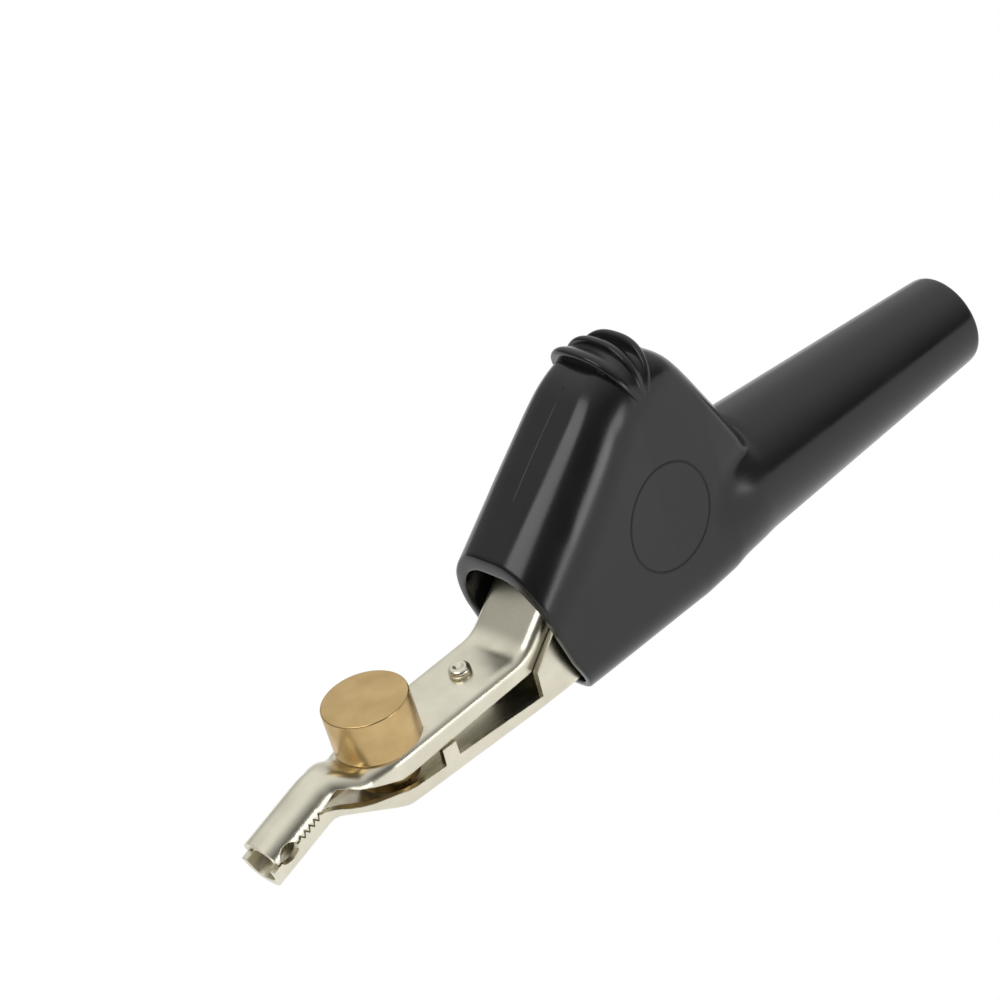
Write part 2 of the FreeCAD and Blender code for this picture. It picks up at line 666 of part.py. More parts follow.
def needle(place):
    """One needle, point down, pressed into the bed."""
    foot, up = barrel_frame()
    tip = -SHEET - bed_height() + NEEDLE_INSET
    root = -SHEET - bed_height() + BED_RECESS_DEPTH
    r = NEEDLE_RADIUS
    points = [(NEEDLE_TIP_RADIUS, tip), (r, tip + NEEDLE_POINT), (r, root + NEEDLE_ROOT)]
    solid = many_sided(points, foot, up, NEEDLE_SIDES)
    spin = FreeCAD.Rotation(V(0, 0, 1), up)
    solid.translate(spin.multVec(V(place[0], place[1], 0)))
    return solid


def nail_bed():
    """Brass cup under the plate that holds the needles, with its shank up through the plate."""
    foot, up = barrel_frame()
    low = -SHEET - bed_height()
    points = [(BED_RECESS_RADIUS, low), (BED_RADIUS, low), (BED_RADIUS, -SHEET),
              (SHANK_RADIUS, -SHEET), (SHANK_RADIUS, SHANK_DEPTH), (0, SHANK_DEPTH),
              (0, low + BED_RECESS_DEPTH), (BED_RECESS_RADIUS, low + BED_RECESS_DEPTH)]
    bed = turned(points, foot, up)
    for place in needle_places():
        bed = bed.cut(needle(place))
    return bed


def spike():
    """Piercing spike riveted through the plate, with its domed head on top."""
    foot = V(SPIKE_X, 0, plate_z(SPIKE_X))
    r = SPIKE_RADIUS
    collar = r + SPIKE_COLLAR
    collar_low = -SHEET - SPIKE_COLLAR_HEIGHT
    points = [(0, -SPIKE_REACH), (SPIKE_TIP_RADIUS, -SPIKE_REACH), (r, SPIKE_POINT - SPIKE_REACH),
              (r, collar_low), (collar, collar_low), (collar, -SHEET), (r, -SHEET), (r, 0),
              (SPIKE_HEAD_RADIUS, 0), (SPIKE_HEAD_RADIUS, SPIKE_HEAD_EDGE),
              (SPIKE_HEAD_TOP, SPIKE_HEAD_HEIGHT), (0, SPIKE_HEAD_HEIGHT)]
    return turned(points, foot, PLATE_NORMAL)


def terminal_washer():
    base = V(TERMINAL_X, 0, TERMINAL_Z)
    ring = rod(WASHER_RADIUS, base, V(0, 0, 1), WASHER_THICKNESS)
    return ring.cut(rod(SCREW_RADIUS, base, V(0, 0, 1), WASHER_THICKNESS))


def terminal_screw():
    """Slotted screw that holds the lead's wire under its washer."""
    base = V(TERMINAL_X, 0, TERMINAL_Z + WASHER_THICKNESS)
    c = SCREW_CHAMFER
    points = [(0, -SCREW_LENGTH), (SCREW_RADIUS - c, -SCREW_LENGTH), (SCREW_RADIUS, c - SCREW_LENGTH),
              (SCREW_RADIUS, 0), (SCREW_HEAD_RADIUS, 0),
              (SCREW_HEAD_RADIUS, SCREW_HEAD_HEIGHT - SCREW_HEAD_CHAMFER),
              (SCREW_HEAD_RADIUS - SCREW_HEAD_CHAMFER, SCREW_HEAD_HEIGHT), (0, SCREW_HEAD_HEIGHT)]
    screw = turned(points, base, V(0, 0, 1))
    slot = Part.makeBox(SCREW_SLOT, 3 * SCREW_HEAD_RADIUS, SCREW_HEAD_HEIGHT)
    slot.translate(base + V(-SCREW_SLOT / 2, -1.5 * SCREW_HEAD_RADIUS, SCREW_HEAD_HEIGHT - SCREW_SLOT_DEPTH))
    return screw.cut(slot)


def crown_z(x, wall):
    """Height of the hump's upper outline at x, set in by a wall."""
    slope = math.radians(HUMP_SLOPE)
    fall = math.radians(HUMP_FALL)
    radius = HUMP_PEAK_RADIUS - wall
    along = x - PEAK_X
    if along < -radius * math.sin(slope):
        return PEAK_CENTRE_Z + radius / math.cos(slope) + along * math.tan(slope)
    if along > radius * math.sin(fall):
        return PEAK_CENTRE_Z + radius / math.cos(fall) - along * math.tan(fall)
    return PEAK_CENTRE_Z + math.sqrt(radius ** 2 - along ** 2)


def rounded_section(x, points, radii):
    """Loop of points across X through (y, z) corners, each rounded by its own radius."""
    outline = []
    count = len(points)
    for i in range(count):
        here = V(x, *points[i])
        before = (V(x, *points[i - 1]) - here).normalize()
        after = (V(x, *points[(i + 1) % count]) - here).normalize()
        half = before.getAngle(after) / 2
        back = radii[i] / math.tan(half)
        centre = here + (before + after).normalize() * radii[i] / math.sin(half)
        outline += rounded_corner(centre, here + before * back, here + after * back)
    return outline


def hump_section(x, side_wall, top_wall, belly_wall):
    """Section of the hump across X: a tapered tunnel shape with rounded edges."""
    along = x - PEAK_X
    low_half = between(HUMP_BELLY_WIDTHS, along) - side_wall
    top_half = between(HUMP_TOP_WIDTHS, along) - side_wall
    low = between(HUMP_BELLY, along) + belly_wall
    high = crown_z(x, top_wall)
    top_edge = between(HUMP_TOP_EDGE, along) - side_wall
    low_edge = HUMP_INNER_EDGE if side_wall else between(HUMP_BELLY_EDGE, along)
    corners = [(-low_half, low), (-top_half, high), (top_half, high), (low_half, low)]
    return rounded_section(x, corners, [low_edge, top_edge, top_edge, low_edge])


def hump_body(side_wall, top_wall, belly_wall):
    """Hump of the boot, lofted through sections from ahead of the mouth to inside the tail."""
    places = [PEAK_X + along for along in HUMP_STATIONS if PEAK_X + along < HUMP_REAR_X - top_wall - SHEET]
    places.append(HUMP_REAR_X - top_wall)
    return skin([hump_section(x, side_wall, top_wall, belly_wall) for x in places])


def tail_radius(x):
    return TAIL_END_RADIUS - TAIL_TAPER * x


def tail_body():
    """Tapered tail with a rounded end and a shoulder that sinks into the hump."""
    start = HUMP_REAR_X - TAIL_OVERLAP
    rim = TAIL_RIM * (1 - math.sqrt(0.5))
    points = [
        (tail_radius(start) - TAIL_SHOULDER, start),
        (tail_radius(start) - TAIL_SHOULDER / 4, start + TAIL_SHOULDER / 2),
        (tail_radius(start + TAIL_SHOULDER), start + TAIL_SHOULDER),
        (TAIL_END_RADIUS, -TAIL_RIM),
        (TAIL_END_RADIUS - rim, -rim),
        (TAIL_END_RADIUS - TAIL_RIM, 0),
    ]
    return many_sided(points, V(0, 0, TAIL_Z), V(1, 0, 0), TAIL_SIDES)


def tail_hollow():
    """Room for the terminal, narrowing to the bore that takes the lead."""
    room_end = STRIP_END_X - ROOM_PAST_STRIP
    throat = room_end + THROAT_LENGTH
    points = [(ROOM_RADIUS + ROOM_FLARE, HUMP_REAR_X - ROOM_LENGTH), (ROOM_RADIUS, room_end),
              (LEAD_BORE_RADIUS, throat)]
    room = many_sided(points, V(0, 0, TAIL_Z), V(1, 0, 0), TAIL_SIDES)
    bore = rod(LEAD_BORE_RADIUS, V(throat - TAIL_RIM, 0, TAIL_Z), V(1, 0, 0), 2 * TAIL_RIM - throat)
    return room.fuse(bore)


def thumb_ridges():
    """Three crescent ridges fanned over the crown of the hump."""
    crowns = []
    for lean, height in RIDGES:
        arch = [V(-RIDGE_ROOT, RIDGE_ROOT, 0), V(-RIDGE_ROOT, -RIDGE_ROOT, 0)]
        for i in range(RIDGE_STEPS + 1):
            angle = math.pi * i / RIDGE_STEPS
            arch.append(V(height * math.sin(angle), -RIDGE_HALF_WIDTH * math.cos(angle), 0))
        plate = flat_face(arch).extrude(V(0, 0, RIDGE_THICKNESS))
        plate.rotate(V(0, 0, 0), V(0, 1, 0), lean - 90)
        plate.translate(V(PEAK_X + RIDGE_BEHIND_PEAK, 0, RIDGE_Z))
        crowns.append(plate)
    return crowns


def ring_groove(side):
    """Engraved circle on one side of the hump, square to its tapered face."""
    low = between(HUMP_BELLY_WIDTHS, RING_BEHIND_PEAK)
    top = between(HUMP_TOP_WIDTHS, RING_BEHIND_PEAK)
    high = crown_z(PEAK_X + RING_BEHIND_PEAK, 0)
    out = V(0, side * high, low - top).normalize()
    face = V(PEAK_X + RING_BEHIND_PEAK, side * (low + (top - low) * RING_Z / high), RING_Z)
    start = face - out * RING_DEPTH
    groove = rod(RING_RADIUS + RING_WIDTH / 2, start, out, 2 * RING_DEPTH)
    return groove.cut(rod(RING_RADIUS - RING_WIDTH / 2, start, out, 2 * RING_DEPTH))


def boot():
    """Soft moulded boot: slab-sided hump, thumb ridges, tapered tail, open mouth and lead bore."""
    below = Part.makeBox(2 * PAST_BOOT, 2 * PAST_BOOT, PAST_BOOT, V(-PAST_BOOT, -PAST_BOOT, -PAST_BOOT))
    outer = hump_body(0, 0, 0).fuse(tail_body()).cut(below)
    for ridge in thumb_ridges():
        outer = outer.fuse(ridge)
    inner = hump_body(BOOT_SIDE_WALL, BOOT_TOP_WALL, BOOT_BELLY_WALL)
    shell = outer.cut(inner).cut(tail_hollow())
    rim = [(MOUTH_TOP_X + back, z) for z, back in MOUTH_RIM]
    ahead = [(TIP_X, MOUTH_RIM[-1][0]), (TIP_X, -FLOOR_Z), (rim[0][0], -FLOOR_Z)]
    shell = shell.cut(prism(rim + ahead, PAST_BOOT))
    for side in (-1, 1):
        shell = shell.cut(ring_groove(side))
    return shell


def main():
    os.makedirs("parts", exist_ok=True)
    save("upper_jaw", upper_jaw())
    save("lower_jaw", lower_jaw())
    save("hinge_pin", hinge_pin())
    save("torsion_spring", torsion_spring())
    save("nail_barrel", nail_barrel())
    save("nail_bed", nail_bed())
    for number, place in enumerate(needle_places()):
        save("needle_%d" % (number + 1), needle(place))
    save("spike", spike())
    save("terminal_screw", terminal_screw())
    save("terminal_washer", terminal_washer())
    save("boot", boot())


main()
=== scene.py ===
"""Looks of the angled test-lead clip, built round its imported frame.

Sizes are in millimetres and become metres where a mesh is made. Along X they are set out
from the tail's end, as the clip's own sizes are, and Z is up from the belly. A table is a
list of (place, value) pairs with straight lines between them.
"""

import math

import bmesh
import bpy
import numpy as np
from mathutils import Matrix, Vector


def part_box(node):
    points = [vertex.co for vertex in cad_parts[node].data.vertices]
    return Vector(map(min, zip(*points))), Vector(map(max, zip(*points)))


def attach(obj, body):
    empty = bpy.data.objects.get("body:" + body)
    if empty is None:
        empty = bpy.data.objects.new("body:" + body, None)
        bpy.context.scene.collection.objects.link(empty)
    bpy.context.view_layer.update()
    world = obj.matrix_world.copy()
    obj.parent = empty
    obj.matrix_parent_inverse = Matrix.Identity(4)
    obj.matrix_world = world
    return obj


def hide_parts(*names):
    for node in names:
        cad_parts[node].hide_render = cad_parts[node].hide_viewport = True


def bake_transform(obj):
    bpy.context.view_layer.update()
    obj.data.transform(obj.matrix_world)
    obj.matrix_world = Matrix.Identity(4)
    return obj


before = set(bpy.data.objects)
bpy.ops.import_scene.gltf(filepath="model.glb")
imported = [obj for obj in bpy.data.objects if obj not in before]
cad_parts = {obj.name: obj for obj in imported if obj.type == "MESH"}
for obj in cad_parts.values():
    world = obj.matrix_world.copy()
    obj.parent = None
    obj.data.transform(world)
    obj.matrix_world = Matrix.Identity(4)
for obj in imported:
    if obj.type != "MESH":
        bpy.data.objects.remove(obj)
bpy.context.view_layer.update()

MM = 0.001
WHOLE = 2 * math.pi
TAIL_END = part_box("boot")[1].x / MM
BASE_BODY = "clip_base"
LEVER_BODY = "jaw_lever"

# Camera, as the photograph was taken
CAMERA_PLACE = (-221.03, -288.70, 234.78)
CAMERA_LOOK = (0.50297, 0.69752, -0.51038)
CAMERA_ROLL = -14.9
CAMERA_LENS = 144.0
SENSOR = 36.0

# Sheet metal of the jaws
SHEET = 0.75
HALF_JAW = 4.5
BEND_RADIUS = 1.2
HALF_EARS = 5.37
JAW_GAP = 0.3
EDGE_ROUND = 0.16

# Nose
NOSE_RADIUS = 2.6
NOSE_CORNER = NOSE_RADIUS - 0.3
NOSE_ANGLE = math.radians(18.5)
TIP = np.array((-106.3, 3.45))
SPLIT_RISE = 0.5
TOOTH_PITCH = 0.75
TOOTH_COUNT = 5
TOOTH_HEIGHT = 0.6
TEETH_FROM_TIP = 3.3
TEETH_RUN_OUT = 0.2
NOTCH_FROM_TIP = 1.7
NOTCH_LENGTH = 2.6
NOTCH_HEIGHT = 1.9
NOTCH_STEPS = 16
NOTCH_LEAST = 0.15
LOWER_NOSE_LEAD = 0.9
PAST_TIP = -3.0

# Upper jaw along its top face
PLATE_BEND = (-71.8, 8.57)
PLATE_FRONT = (-94.1, 7.36)
TAPER_START_X = -90.3
TAPER_END_X = -97.4
STRIP_ANGLE = math.radians(42.0)
HANDLE_BEND_X = -63.5
HANDLE_ANGLE = math.radians(53.0)
HANDLE_LENGTH = 12.3
HANDLE_HALF_WIDTH = 3.5
HANDLE_FLANGE = 1.9
UPPER_FLANGE = 2.75
UPPER_FLANGE_REAR = 2.3
UPPER_BENDS = [5.0, 1.6, 4.0, 6.0]
UPPER_SPACING = 1.5

# Lower jaw along its bottom face
FLOOR_Z = 1.0
FLOOR_RISE = 0.035
LOWER_FLANGE_TOP = 3.15
REAR_FLANGE_RISE = 0.3
TAB_X = -84.1
TAB_WIDTH = 1.9
TAB_GAP = 0.1
EAR_FRONT_X = -71.4
EAR_FRONT_RISE = 3.2
EAR_END_X = -57.0
RAMP_FOOT_X = -50.5
STRIP_FRONT_X = -43.5
STRIP_END_X = -33.5
STRIP_HALF_WIDTH = 3.3
STRIP_Z = 4.85
WING_LENGTH = 3.0
WING_FROM_END = 0.4
WING_FOOT_RISE = 0.7
WING_RISE = 3.2
LOWER_BENDS = [3.0, 6.0, 4.0, 3.0]
LOWER_SPACING = 1.2

# Hinge and spring
PIN = np.array((-63.0, 9.6))
PIN_RADIUS = 1.2
PIN_HEAD_RADIUS = 2.1
PIN_HEAD_THICKNESS = 0.35
EAR_RADIUS = 3.4
WIRE_RADIUS = 0.43
WIRE_SIDES = 14
COIL_RADIUS = 2.3
COIL_TURNS = 3.5
COIL_PITCH = 1.0
COIL_STEPS = 40
SPRING_GAP = 0.2
UPPER_LEG = 6.0
LOWER_LEG = 10.0
LEG_SHARES = (0.25, 0.5, 0.75, 0.99, 1.0)

# Brass, spike and terminal
BARREL_X = -89.15
BARREL_RADIUS = 4.75
BARREL_HEIGHT = 5.3
BARREL_ROUND = 0.26
SMALL_ROUND = 0.12
BED_RADIUS = 3.3
BED_BOTTOM_Z = 2.95
BED_RECESS_RADIUS = 2.5
BED_RECESS_DEPTH = 1.5
SHANK_RADIUS = 1.9
SHANK_LENGTH = 2.5
SHANK_ROOM = 0.1
NEEDLE_RADIUS = 0.32
NEEDLE_CIRCLE = 1.6
NEEDLE_INSET = 0.25
NEEDLE_POINT = 0.75
NEEDLE_ROOT = 1.5
NEEDLES_ROUND = 4
POINT_RADIUS = 0.06
SPIKE_X = -77.1
SPIKE_RADIUS = 0.7
SPIKE_REACH = 4.3
SPIKE_POINT = 2.4
SPIKE_COLLAR = SPIKE_RADIUS + 0.5
SPIKE_HEAD_RADIUS = 1.25
SPIKE_HEAD_HEIGHT = 0.9
SPIKE_HEAD = [(1.0, 0.0), (1.0, 0.4), (0.97, 0.65), (0.88, 0.85), (0.72, 0.97), (0.58, 1.0),
              (0.46, 0.95), (0.34, 0.82), (0.2, 0.74), (0.0, 0.72)]
TERMINAL_X = -38.5
TERMINAL_Z = 5.6
WASHER_RADIUS = 2.05
WASHER_THICKNESS = 0.6
WASHER_ROUND = 0.1
SCREW_RADIUS = 1.25
SCREW_TIP_CHAMFER = 0.3
SCREW_HEAD_RADIUS = 2.1
SCREW_HEAD_HEIGHT = 1.5
SCREW_LENGTH = 3.2
SCREW_SLOT = 0.6
SLOT_DEPTH = 0.75

# Outside of the boot; the tables run from the mouth to the tail
MOUTH_RIM = [(0.0, -65.0), (1.0, -65.6), (5.3, -67.5), (9.7, -68.9), (14.5, -69.95),
             (18.0, -70.38), (22.0, -70.5)]
HUMP_SLOPE = math.radians(39.8)
HUMP_FALL = math.radians(60.0)
PEAK_X = -50.2
PEAK_CENTRE_Z = 23.767
PEAK_RADIUS = 8.5
BELLY_WIDTHS = [(-76.0, 7.35), (-63.0, 7.3), (-48.0, 7.1), (-42.0, 7.2), (-36.0, 6.2)]
TOP_WIDTHS = [(-76.0, 7.6), (-70.0, 7.55), (-63.0, 7.3), (-57.0, 6.8), (-51.0, 5.9),
              (-43.0, 5.4), (-36.0, 5.5)]
BELLY = [(-47.0, 0.0), (-41.0, 0.5), (-36.0, 1.4)]
TOP_EDGE = [(-70.0, 6.2), (-66.0, 5.7), (-56.0, 4.5), (-50.0, 3.8), (-46.0, 2.8),
            (-42.0, 3.0), (-36.0, 5.0)]
TOP_SQUASH = [(-70.0, 0.68), (-64.0, 0.56), (-54.0, 0.48), (-44.0, 0.85)]
BELLY_EDGE = [(-66.0, 4.2), (-46.0, 5.0), (-36.0, 5.8)]
SIDE_PAST_TOP = 1.2
TAIL_Z = 8.4
TAIL_END_RADIUS = 5.55
TAIL_TAPER = 0.0564
HUMP_REAR_X = -35.2
HUMP_REAR_ROUND = 1.5
TAIL_START_X = -43.0
TAIL_BLEND = 6.0
TAIL_SINK = 1.6
CREASE_ROUND = 1.3
CREASE_DEPTH = 0.45
CREASE_WIDTH = 0.8
CREASE_FOOT = 4.5
CREASE_FADE = 2.0

# Walls of the boot and its bore for the lead
SIDE_WALL = 1.15
TOP_WALL = 1.7
BELLY_WALL = 1.5
INNER_EDGE = 1.6
LEAD_BORE_RADIUS = 2.6
TAIL_LIP = [(-0.4, 0.0), (-0.15, 0.08), (-0.03, 0.22), (0.0, 0.5)]
TAIL_BORE = [(0.0, 3.6), (-0.02, 3.1), (-0.2, 2.75), (-0.7, 2.62), (-2.0, LEAD_BORE_RADIUS),
             (-12.0, LEAD_BORE_RADIUS), (-24.0, LEAD_BORE_RADIUS), (-26.0, 2.9), (-33.0, 5.3),
             (-36.0, 5.5), (-40.0, 5.6)]
LIP_INSIDE = [(1.2, 1.0), (0.45, 1.0), (0.14, 0.97), (0.02, 0.82), (0.0, 0.5), (0.02, 0.2)]

# Places of the boot's sections
BOOT_SIDES = 128
RIM_CENTRE_Z = 9.0
HUMP_CENTRE_Z = 10.0
LIP_OUTSIDE = (0.12, 0.45, 1.2)
RIM_LEAD = 1.2
SQUARE_X = -52.0
LEANING_ROWS = 18
FIRST_STEP = 0.6
FIELD_STEP = 0.45
FIELD_END_X = -33.0
CENTRE_FALL_X = -44.0
CENTRE_FALL = 6.0
TAIL_PLACES = (-32.5, -31.0, -28.0, -24.0, -20.0, -16.0, -12.0, -8.0, -4.5, -2.0, -1.1)
INNER_PLACES = (-44.0, -46.0, -48.0, -50.0, -52.0)
INNER_SHARES = (0.85, 0.7, 0.55, 0.4, 0.25, 0.12)

# Details on the boot
RIDGE_HUB = np.array((-49.6, 26.2))
RIDGES = [(-17.4, 8.2), (7.5, 7.35), (31.0, 7.35)]
RIDGE_HALF_WIDTH = 5.95
RIDGE_PROFILE = [(-0.75, -3.4), (-0.8, -2.2), (-0.95, -1.2), (-1.1, -0.55), (-1.0, -0.15),
                 (-0.65, 0.0), (-0.25, -0.1), (0.2, -0.5), (0.7, -1.05), (1.3, -1.5),
                 (2.0, -1.75), (2.8, -2.0), (3.4, -2.6), (3.6, -3.4)]
RIDGE_STEPS = 60
RIDGE_POWER = 2.5
RIDGE_LEAST = 0.12
RING_CENTRE = (-50.4, 13.7)
RING_RADIUS = 6.0
RING_STEPS = 96
RING_SIDES = 8
RING_LINE_WIDTH = 0.17
RING_LINE_HEIGHT = 0.08
RING_LINE_SINK = 0.02
SEAM_FRONT_X = -66.5
SEAM_LENGTH = 11.5
SEAM_STEPS = 40
SEAM_SINK = 0.03
SEAM_SECTION = [(-0.16, -0.02), (-0.06, 0.1), (0.06, 0.1), (0.16, -0.02)]

# Steps of the meshes
MERGE_DISTANCE = 0.002 * MM
CRISP_ANGLE = math.radians(38.0)
CORNER_SHARE = 0.45
WEB_STEPS = 6
CORNER_STEPS = 8
FLANGE_STEPS = 5
LEAST_WEB = 0.02
SHALLOW_SHARE = 0.85
EDGE_STEP = 0.35
LEAST_SPACING = 0.03
STEP_OFFSET = 0.025
SECTION_ANGLES = 361
SECTION_REACH = 45.0
SECTION_HALVINGS = 34

# Colours and finishes
PVC_BLACK = (0.0115, 0.0115, 0.012)
# Painted shade: darker than the PVC to stand for the shade inside the side ring's groove
GROOVE_PAINTED_SHADE = (0.004, 0.004, 0.004)
NICKEL_CLEAN = (0.86, 0.825, 0.675)
NICKEL_WORN = (0.76, 0.72, 0.58)
STEEL_CLEAN = (0.62, 0.61, 0.58)
STEEL_WORN = (0.45, 0.44, 0.42)
BRASS_CLEAN = (0.68, 0.485, 0.225)
BRASS_WORN = (0.56, 0.39, 0.175)
LIGHTER = 1.35
BUMP_DEPTH = 0.02

# Stage
FLOOR_HALF = 3.0
FLOOR_DROP = -0.0002
FLOOR_GREY = 0.85
FLOOR_GLOW = 0.9
BRIGHT_SIDE = (0.434, 0.304, 0.848)
LIGHT_AIM = Vector((-0.006, 0, 0.014))


def place(x, y, z):
    """Point of the frame, in metres, from millimetres set out from the tail's end."""
    return Vector(((TAIL_END + x) * MM, y * MM, z * MM))


def along(table, x):
    return np.interp(x, [p[0] for p in table], [p[1] for p in table])


# Meshes


def surface(rows, close_rows=False, close_ring=False):
    """Quad skin through rows of points of equal length."""
    if close_rows:
        rows = [list(row) + [row[0]] for row in rows]
    if close_ring:
        rows = list(rows) + [rows[0]]
    bm = bmesh.new()
    bmesh.ops.create_grid(bm, x_segments=len(rows[0]) - 1, y_segments=len(rows) - 1, size=0.5)
    for vert, point in zip(bm.verts, [p for row in rows for p in row]):
        vert.co = point
    bmesh.ops.remove_doubles(bm, verts=bm.verts, dist=MERGE_DISTANCE)
    return bm


def cap_ends(bm):
    edges = [e for e in bm.edges if e.is_boundary]
    if edges:
        bmesh.ops.holes_fill(bm, edges=edges)
    return bm


def add_piece(name, bm, material, body, nodes=()):
    """Object from a mesh, riding on a body when one is given."""
    bmesh.ops.recalc_face_normals(bm, faces=bm.faces)
    mesh = bpy.data.meshes.new(name)
    bm.to_mesh(mesh)
    bm.free()
    obj = bpy.data.objects.new(name, mesh)
    bpy.context.scene.collection.objects.link(obj)
    mesh.materials.append(material)
    mesh.shade_smooth()
    if body:
        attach(obj, body)
    if nodes:
        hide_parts(*nodes)
    return obj


def crisp_edges(bm):
    """Keeps shading sharp where two faces meet at a clear angle."""
    for edge in bm.edges:
        edge.smooth = len(edge.link_faces) == 2 and edge.calc_face_angle(0.0) < CRISP_ANGLE


def smoother(obj):
    subdivision = obj.modifiers.new("smooth", "SUBSURF")
    subdivision.levels = 1
    subdivision.render_levels = 1


def turned(points, foot, axis, steps):
    """Spun solid: points are (radius, height) from its foot along its axis."""
    bm = bmesh.new()
    verts = [bm.verts.new((r * MM, 0, h * MM)) for r, h in points]
    edges = [bm.edges.new(pair) for pair in zip(verts, verts[1:])]
    bmesh.ops.spin(bm, geom=verts + edges, cent=(0, 0, 0), axis=(0, 0, 1), angle=WHOLE,
                   steps=steps, use_merge=True, use_duplicate=False)
    bmesh.ops.remove_doubles(bm, verts=bm.verts, dist=MERGE_DISTANCE)
    turn = Vector((0, 0, 1)).rotation_difference(axis).to_matrix().to_4x4()
    bmesh.ops.transform(bm, matrix=Matrix.Translation(foot) @ turn, verts=bm.verts)
    return bm


def rounded_profile(corners, radius, steps):
    """Profile with each inner corner of a (radius, height) line rounded a little."""
    points = [corners[0]]
    for before, here, after in zip(corners, corners[1:], corners[2:]):
        h = np.array(here, float)
        a = np.array(before, float) - h
        b = np.array(after, float) - h
        cut = min(radius, np.linalg.norm(a) * CORNER_SHARE, np.linalg.norm(b) * CORNER_SHARE)
        a = h + a / np.linalg.norm(a) * cut
        b = h + b / np.linalg.norm(b) * cut
        for i in range(steps + 1):
            t = i / steps
            points.append(tuple((1 - t) ** 2 * a + 2 * t * (1 - t) * h + t ** 2 * b))
    points.append(corners[-1])
    return points


# Side-view lines of the two jaws


def run_of(angle):
    return np.array((math.cos(angle), math.sin(angle)))


def under_of(run):
    return np.array((run[1], -run[0]))


NOSE_RUN = run_of(NOSE_ANGLE)
NOSE_UP = np.array((-NOSE_RUN[1], NOSE_RUN[0]))
STRIP_RUN = run_of(STRIP_ANGLE)
HANDLE_RUN = run_of(HANDLE_ANGLE)
HANDLE_UNDER = under_of(HANDLE_RUN)
HANDLE_FOOT = np.array(PLATE_BEND) + STRIP_RUN * (HANDLE_BEND_X - PLATE_BEND[0]) / STRIP_RUN[0]


def nose_point(from_tip, rise):
    return TIP + NOSE_RUN * from_tip + NOSE_UP * rise


def nose_z(x, rise):
    start = TIP + NOSE_UP * rise
    return start[1] + (x - start[0]) * NOSE_RUN[1] / NOSE_RUN[0]


def plate_z(x):
    slope = (PLATE_BEND[1] - PLATE_FRONT[1]) / (PLATE_BEND[0] - PLATE_FRONT[0])
    return PLATE_BEND[1] + slope * (x - PLATE_BEND[0])


def floor_z(x):
    return FLOOR_Z + FLOOR_RISE * (x - TAPER_START_X)


PLATE_UP = Vector((plate_z(0) - plate_z(1), 0, 1)).normalized()


def bent_line(corners, radii, step=5.0):
    """Stations (x, z, angle) along straight runs joined by arcs, front to rear."""
    corners = [np.array(c, float) for c in corners]
    angles = [math.atan2(b[1] - a[1], b[0] - a[0]) for a, b in zip(corners, corners[1:])]
    stations = [(corners[0][0], corners[0][1], angles[0])]
    for corner, radius, before, after in zip(corners[1:-1], radii, angles, angles[1:]):
        turn = after - before
        sign = math.copysign(1, turn)
        start = corner - run_of(before) * radius * math.tan(abs(turn) / 2)
        centre = start + np.array((-math.sin(before), math.cos(before))) * sign * radius
        count = max(3, math.ceil(abs(math.degrees(turn)) / step))
        for i in range(count + 1):
            angle = before + turn * i / count
            point = centre + np.array((math.sin(angle), -math.cos(angle))) * sign * radius
            stations.append((point[0], point[1], angle))
    stations.append((corners[-1][0], corners[-1][1], angles[-1]))
    return stations


def with_places(stations, places, spacing):
    """The same line with more stations on its runs, and one at each place along X."""
    result = [stations[0]]
    for (x0, z0, a0), (x1, z1, a1) in zip(stations, stations[1:]):
        marks = sorted(p for p in places if x0 + 0.01 < p < x1 - 0.01)
        edges = [x0] + marks + [x1]
        for left, right in zip(edges, edges[1:]):
            count = max(1, math.ceil((right - left) / spacing))
            for i in range(1, count + 1):
                share = (left + (right - left) * i / count - x0) / (x1 - x0)
                result.append((x0 + (x1 - x0) * share, z0 + (z1 - z0) * share,
                               a0 + (a1 - a0) * share))
    return result


def crossing(start, direction, outline):
    """Distance along a ray to the outline's nearest crossing."""
    best = 50.0
    for a, b in zip(outline, outline[1:]):
        edge = b - a
        cross = direction[0] * edge[1] - direction[1] * edge[0]
        if abs(cross) < 1e-9:
            continue
        gap = a - start
        distance = (gap[0] * edge[1] - gap[1] * edge[0]) / cross
        share = (gap[0] * direction[1] - gap[1] * direction[0]) / cross
        if distance > 0.02 and -1e-6 <= share <= 1 + 1e-6:
            best = min(best, distance)
    return best


def folded_row(station, inward, half_width, corner, depth):
    """Points across a folded sheet: flange, rounded corner, web, corner and flange."""
    x, z, angle = station
    down = np.array((math.sin(angle), -math.cos(angle))) * inward
    corner = min(corner, half_width - LEAST_WEB)
    web = half_width - corner
    quarter = corner * math.pi / 2
    if depth < corner:
        bend = corner * math.acos(1 - depth / corner) * SHALLOW_SHARE
        length = bend / SHALLOW_SHARE
    else:
        bend = quarter
        length = quarter + depth - corner
    marks = [web * i / WEB_STEPS for i in range(WEB_STEPS)]
    marks += [web + bend * i / CORNER_STEPS for i in range(CORNER_STEPS)]
    marks += [web + bend + (length - bend) * i / FLANGE_STEPS for i in range(FLANGE_STEPS + 1)]
    half = []
    for s in marks:
        if s <= web:
            y, d = s, 0.0
        elif s <= web + quarter:
            turn = (s - web) / corner
            y, d = web + corner * math.sin(turn), corner * (1 - math.cos(turn))
        else:
            y, d = half_width, s - web - quarter + corner
        half.append((x + down[0] * d, y, z + down[1] * d))
    left = [place(px, -py, pz) for px, py, pz in reversed(half[1:])]
    return left + [place(*p) for p in half]


def depth_at(station, inward, outline):
    x, z, angle = station
    down = np.array((math.sin(angle), -math.cos(angle))) * inward
    return crossing(np.array((x, z)), down, outline)


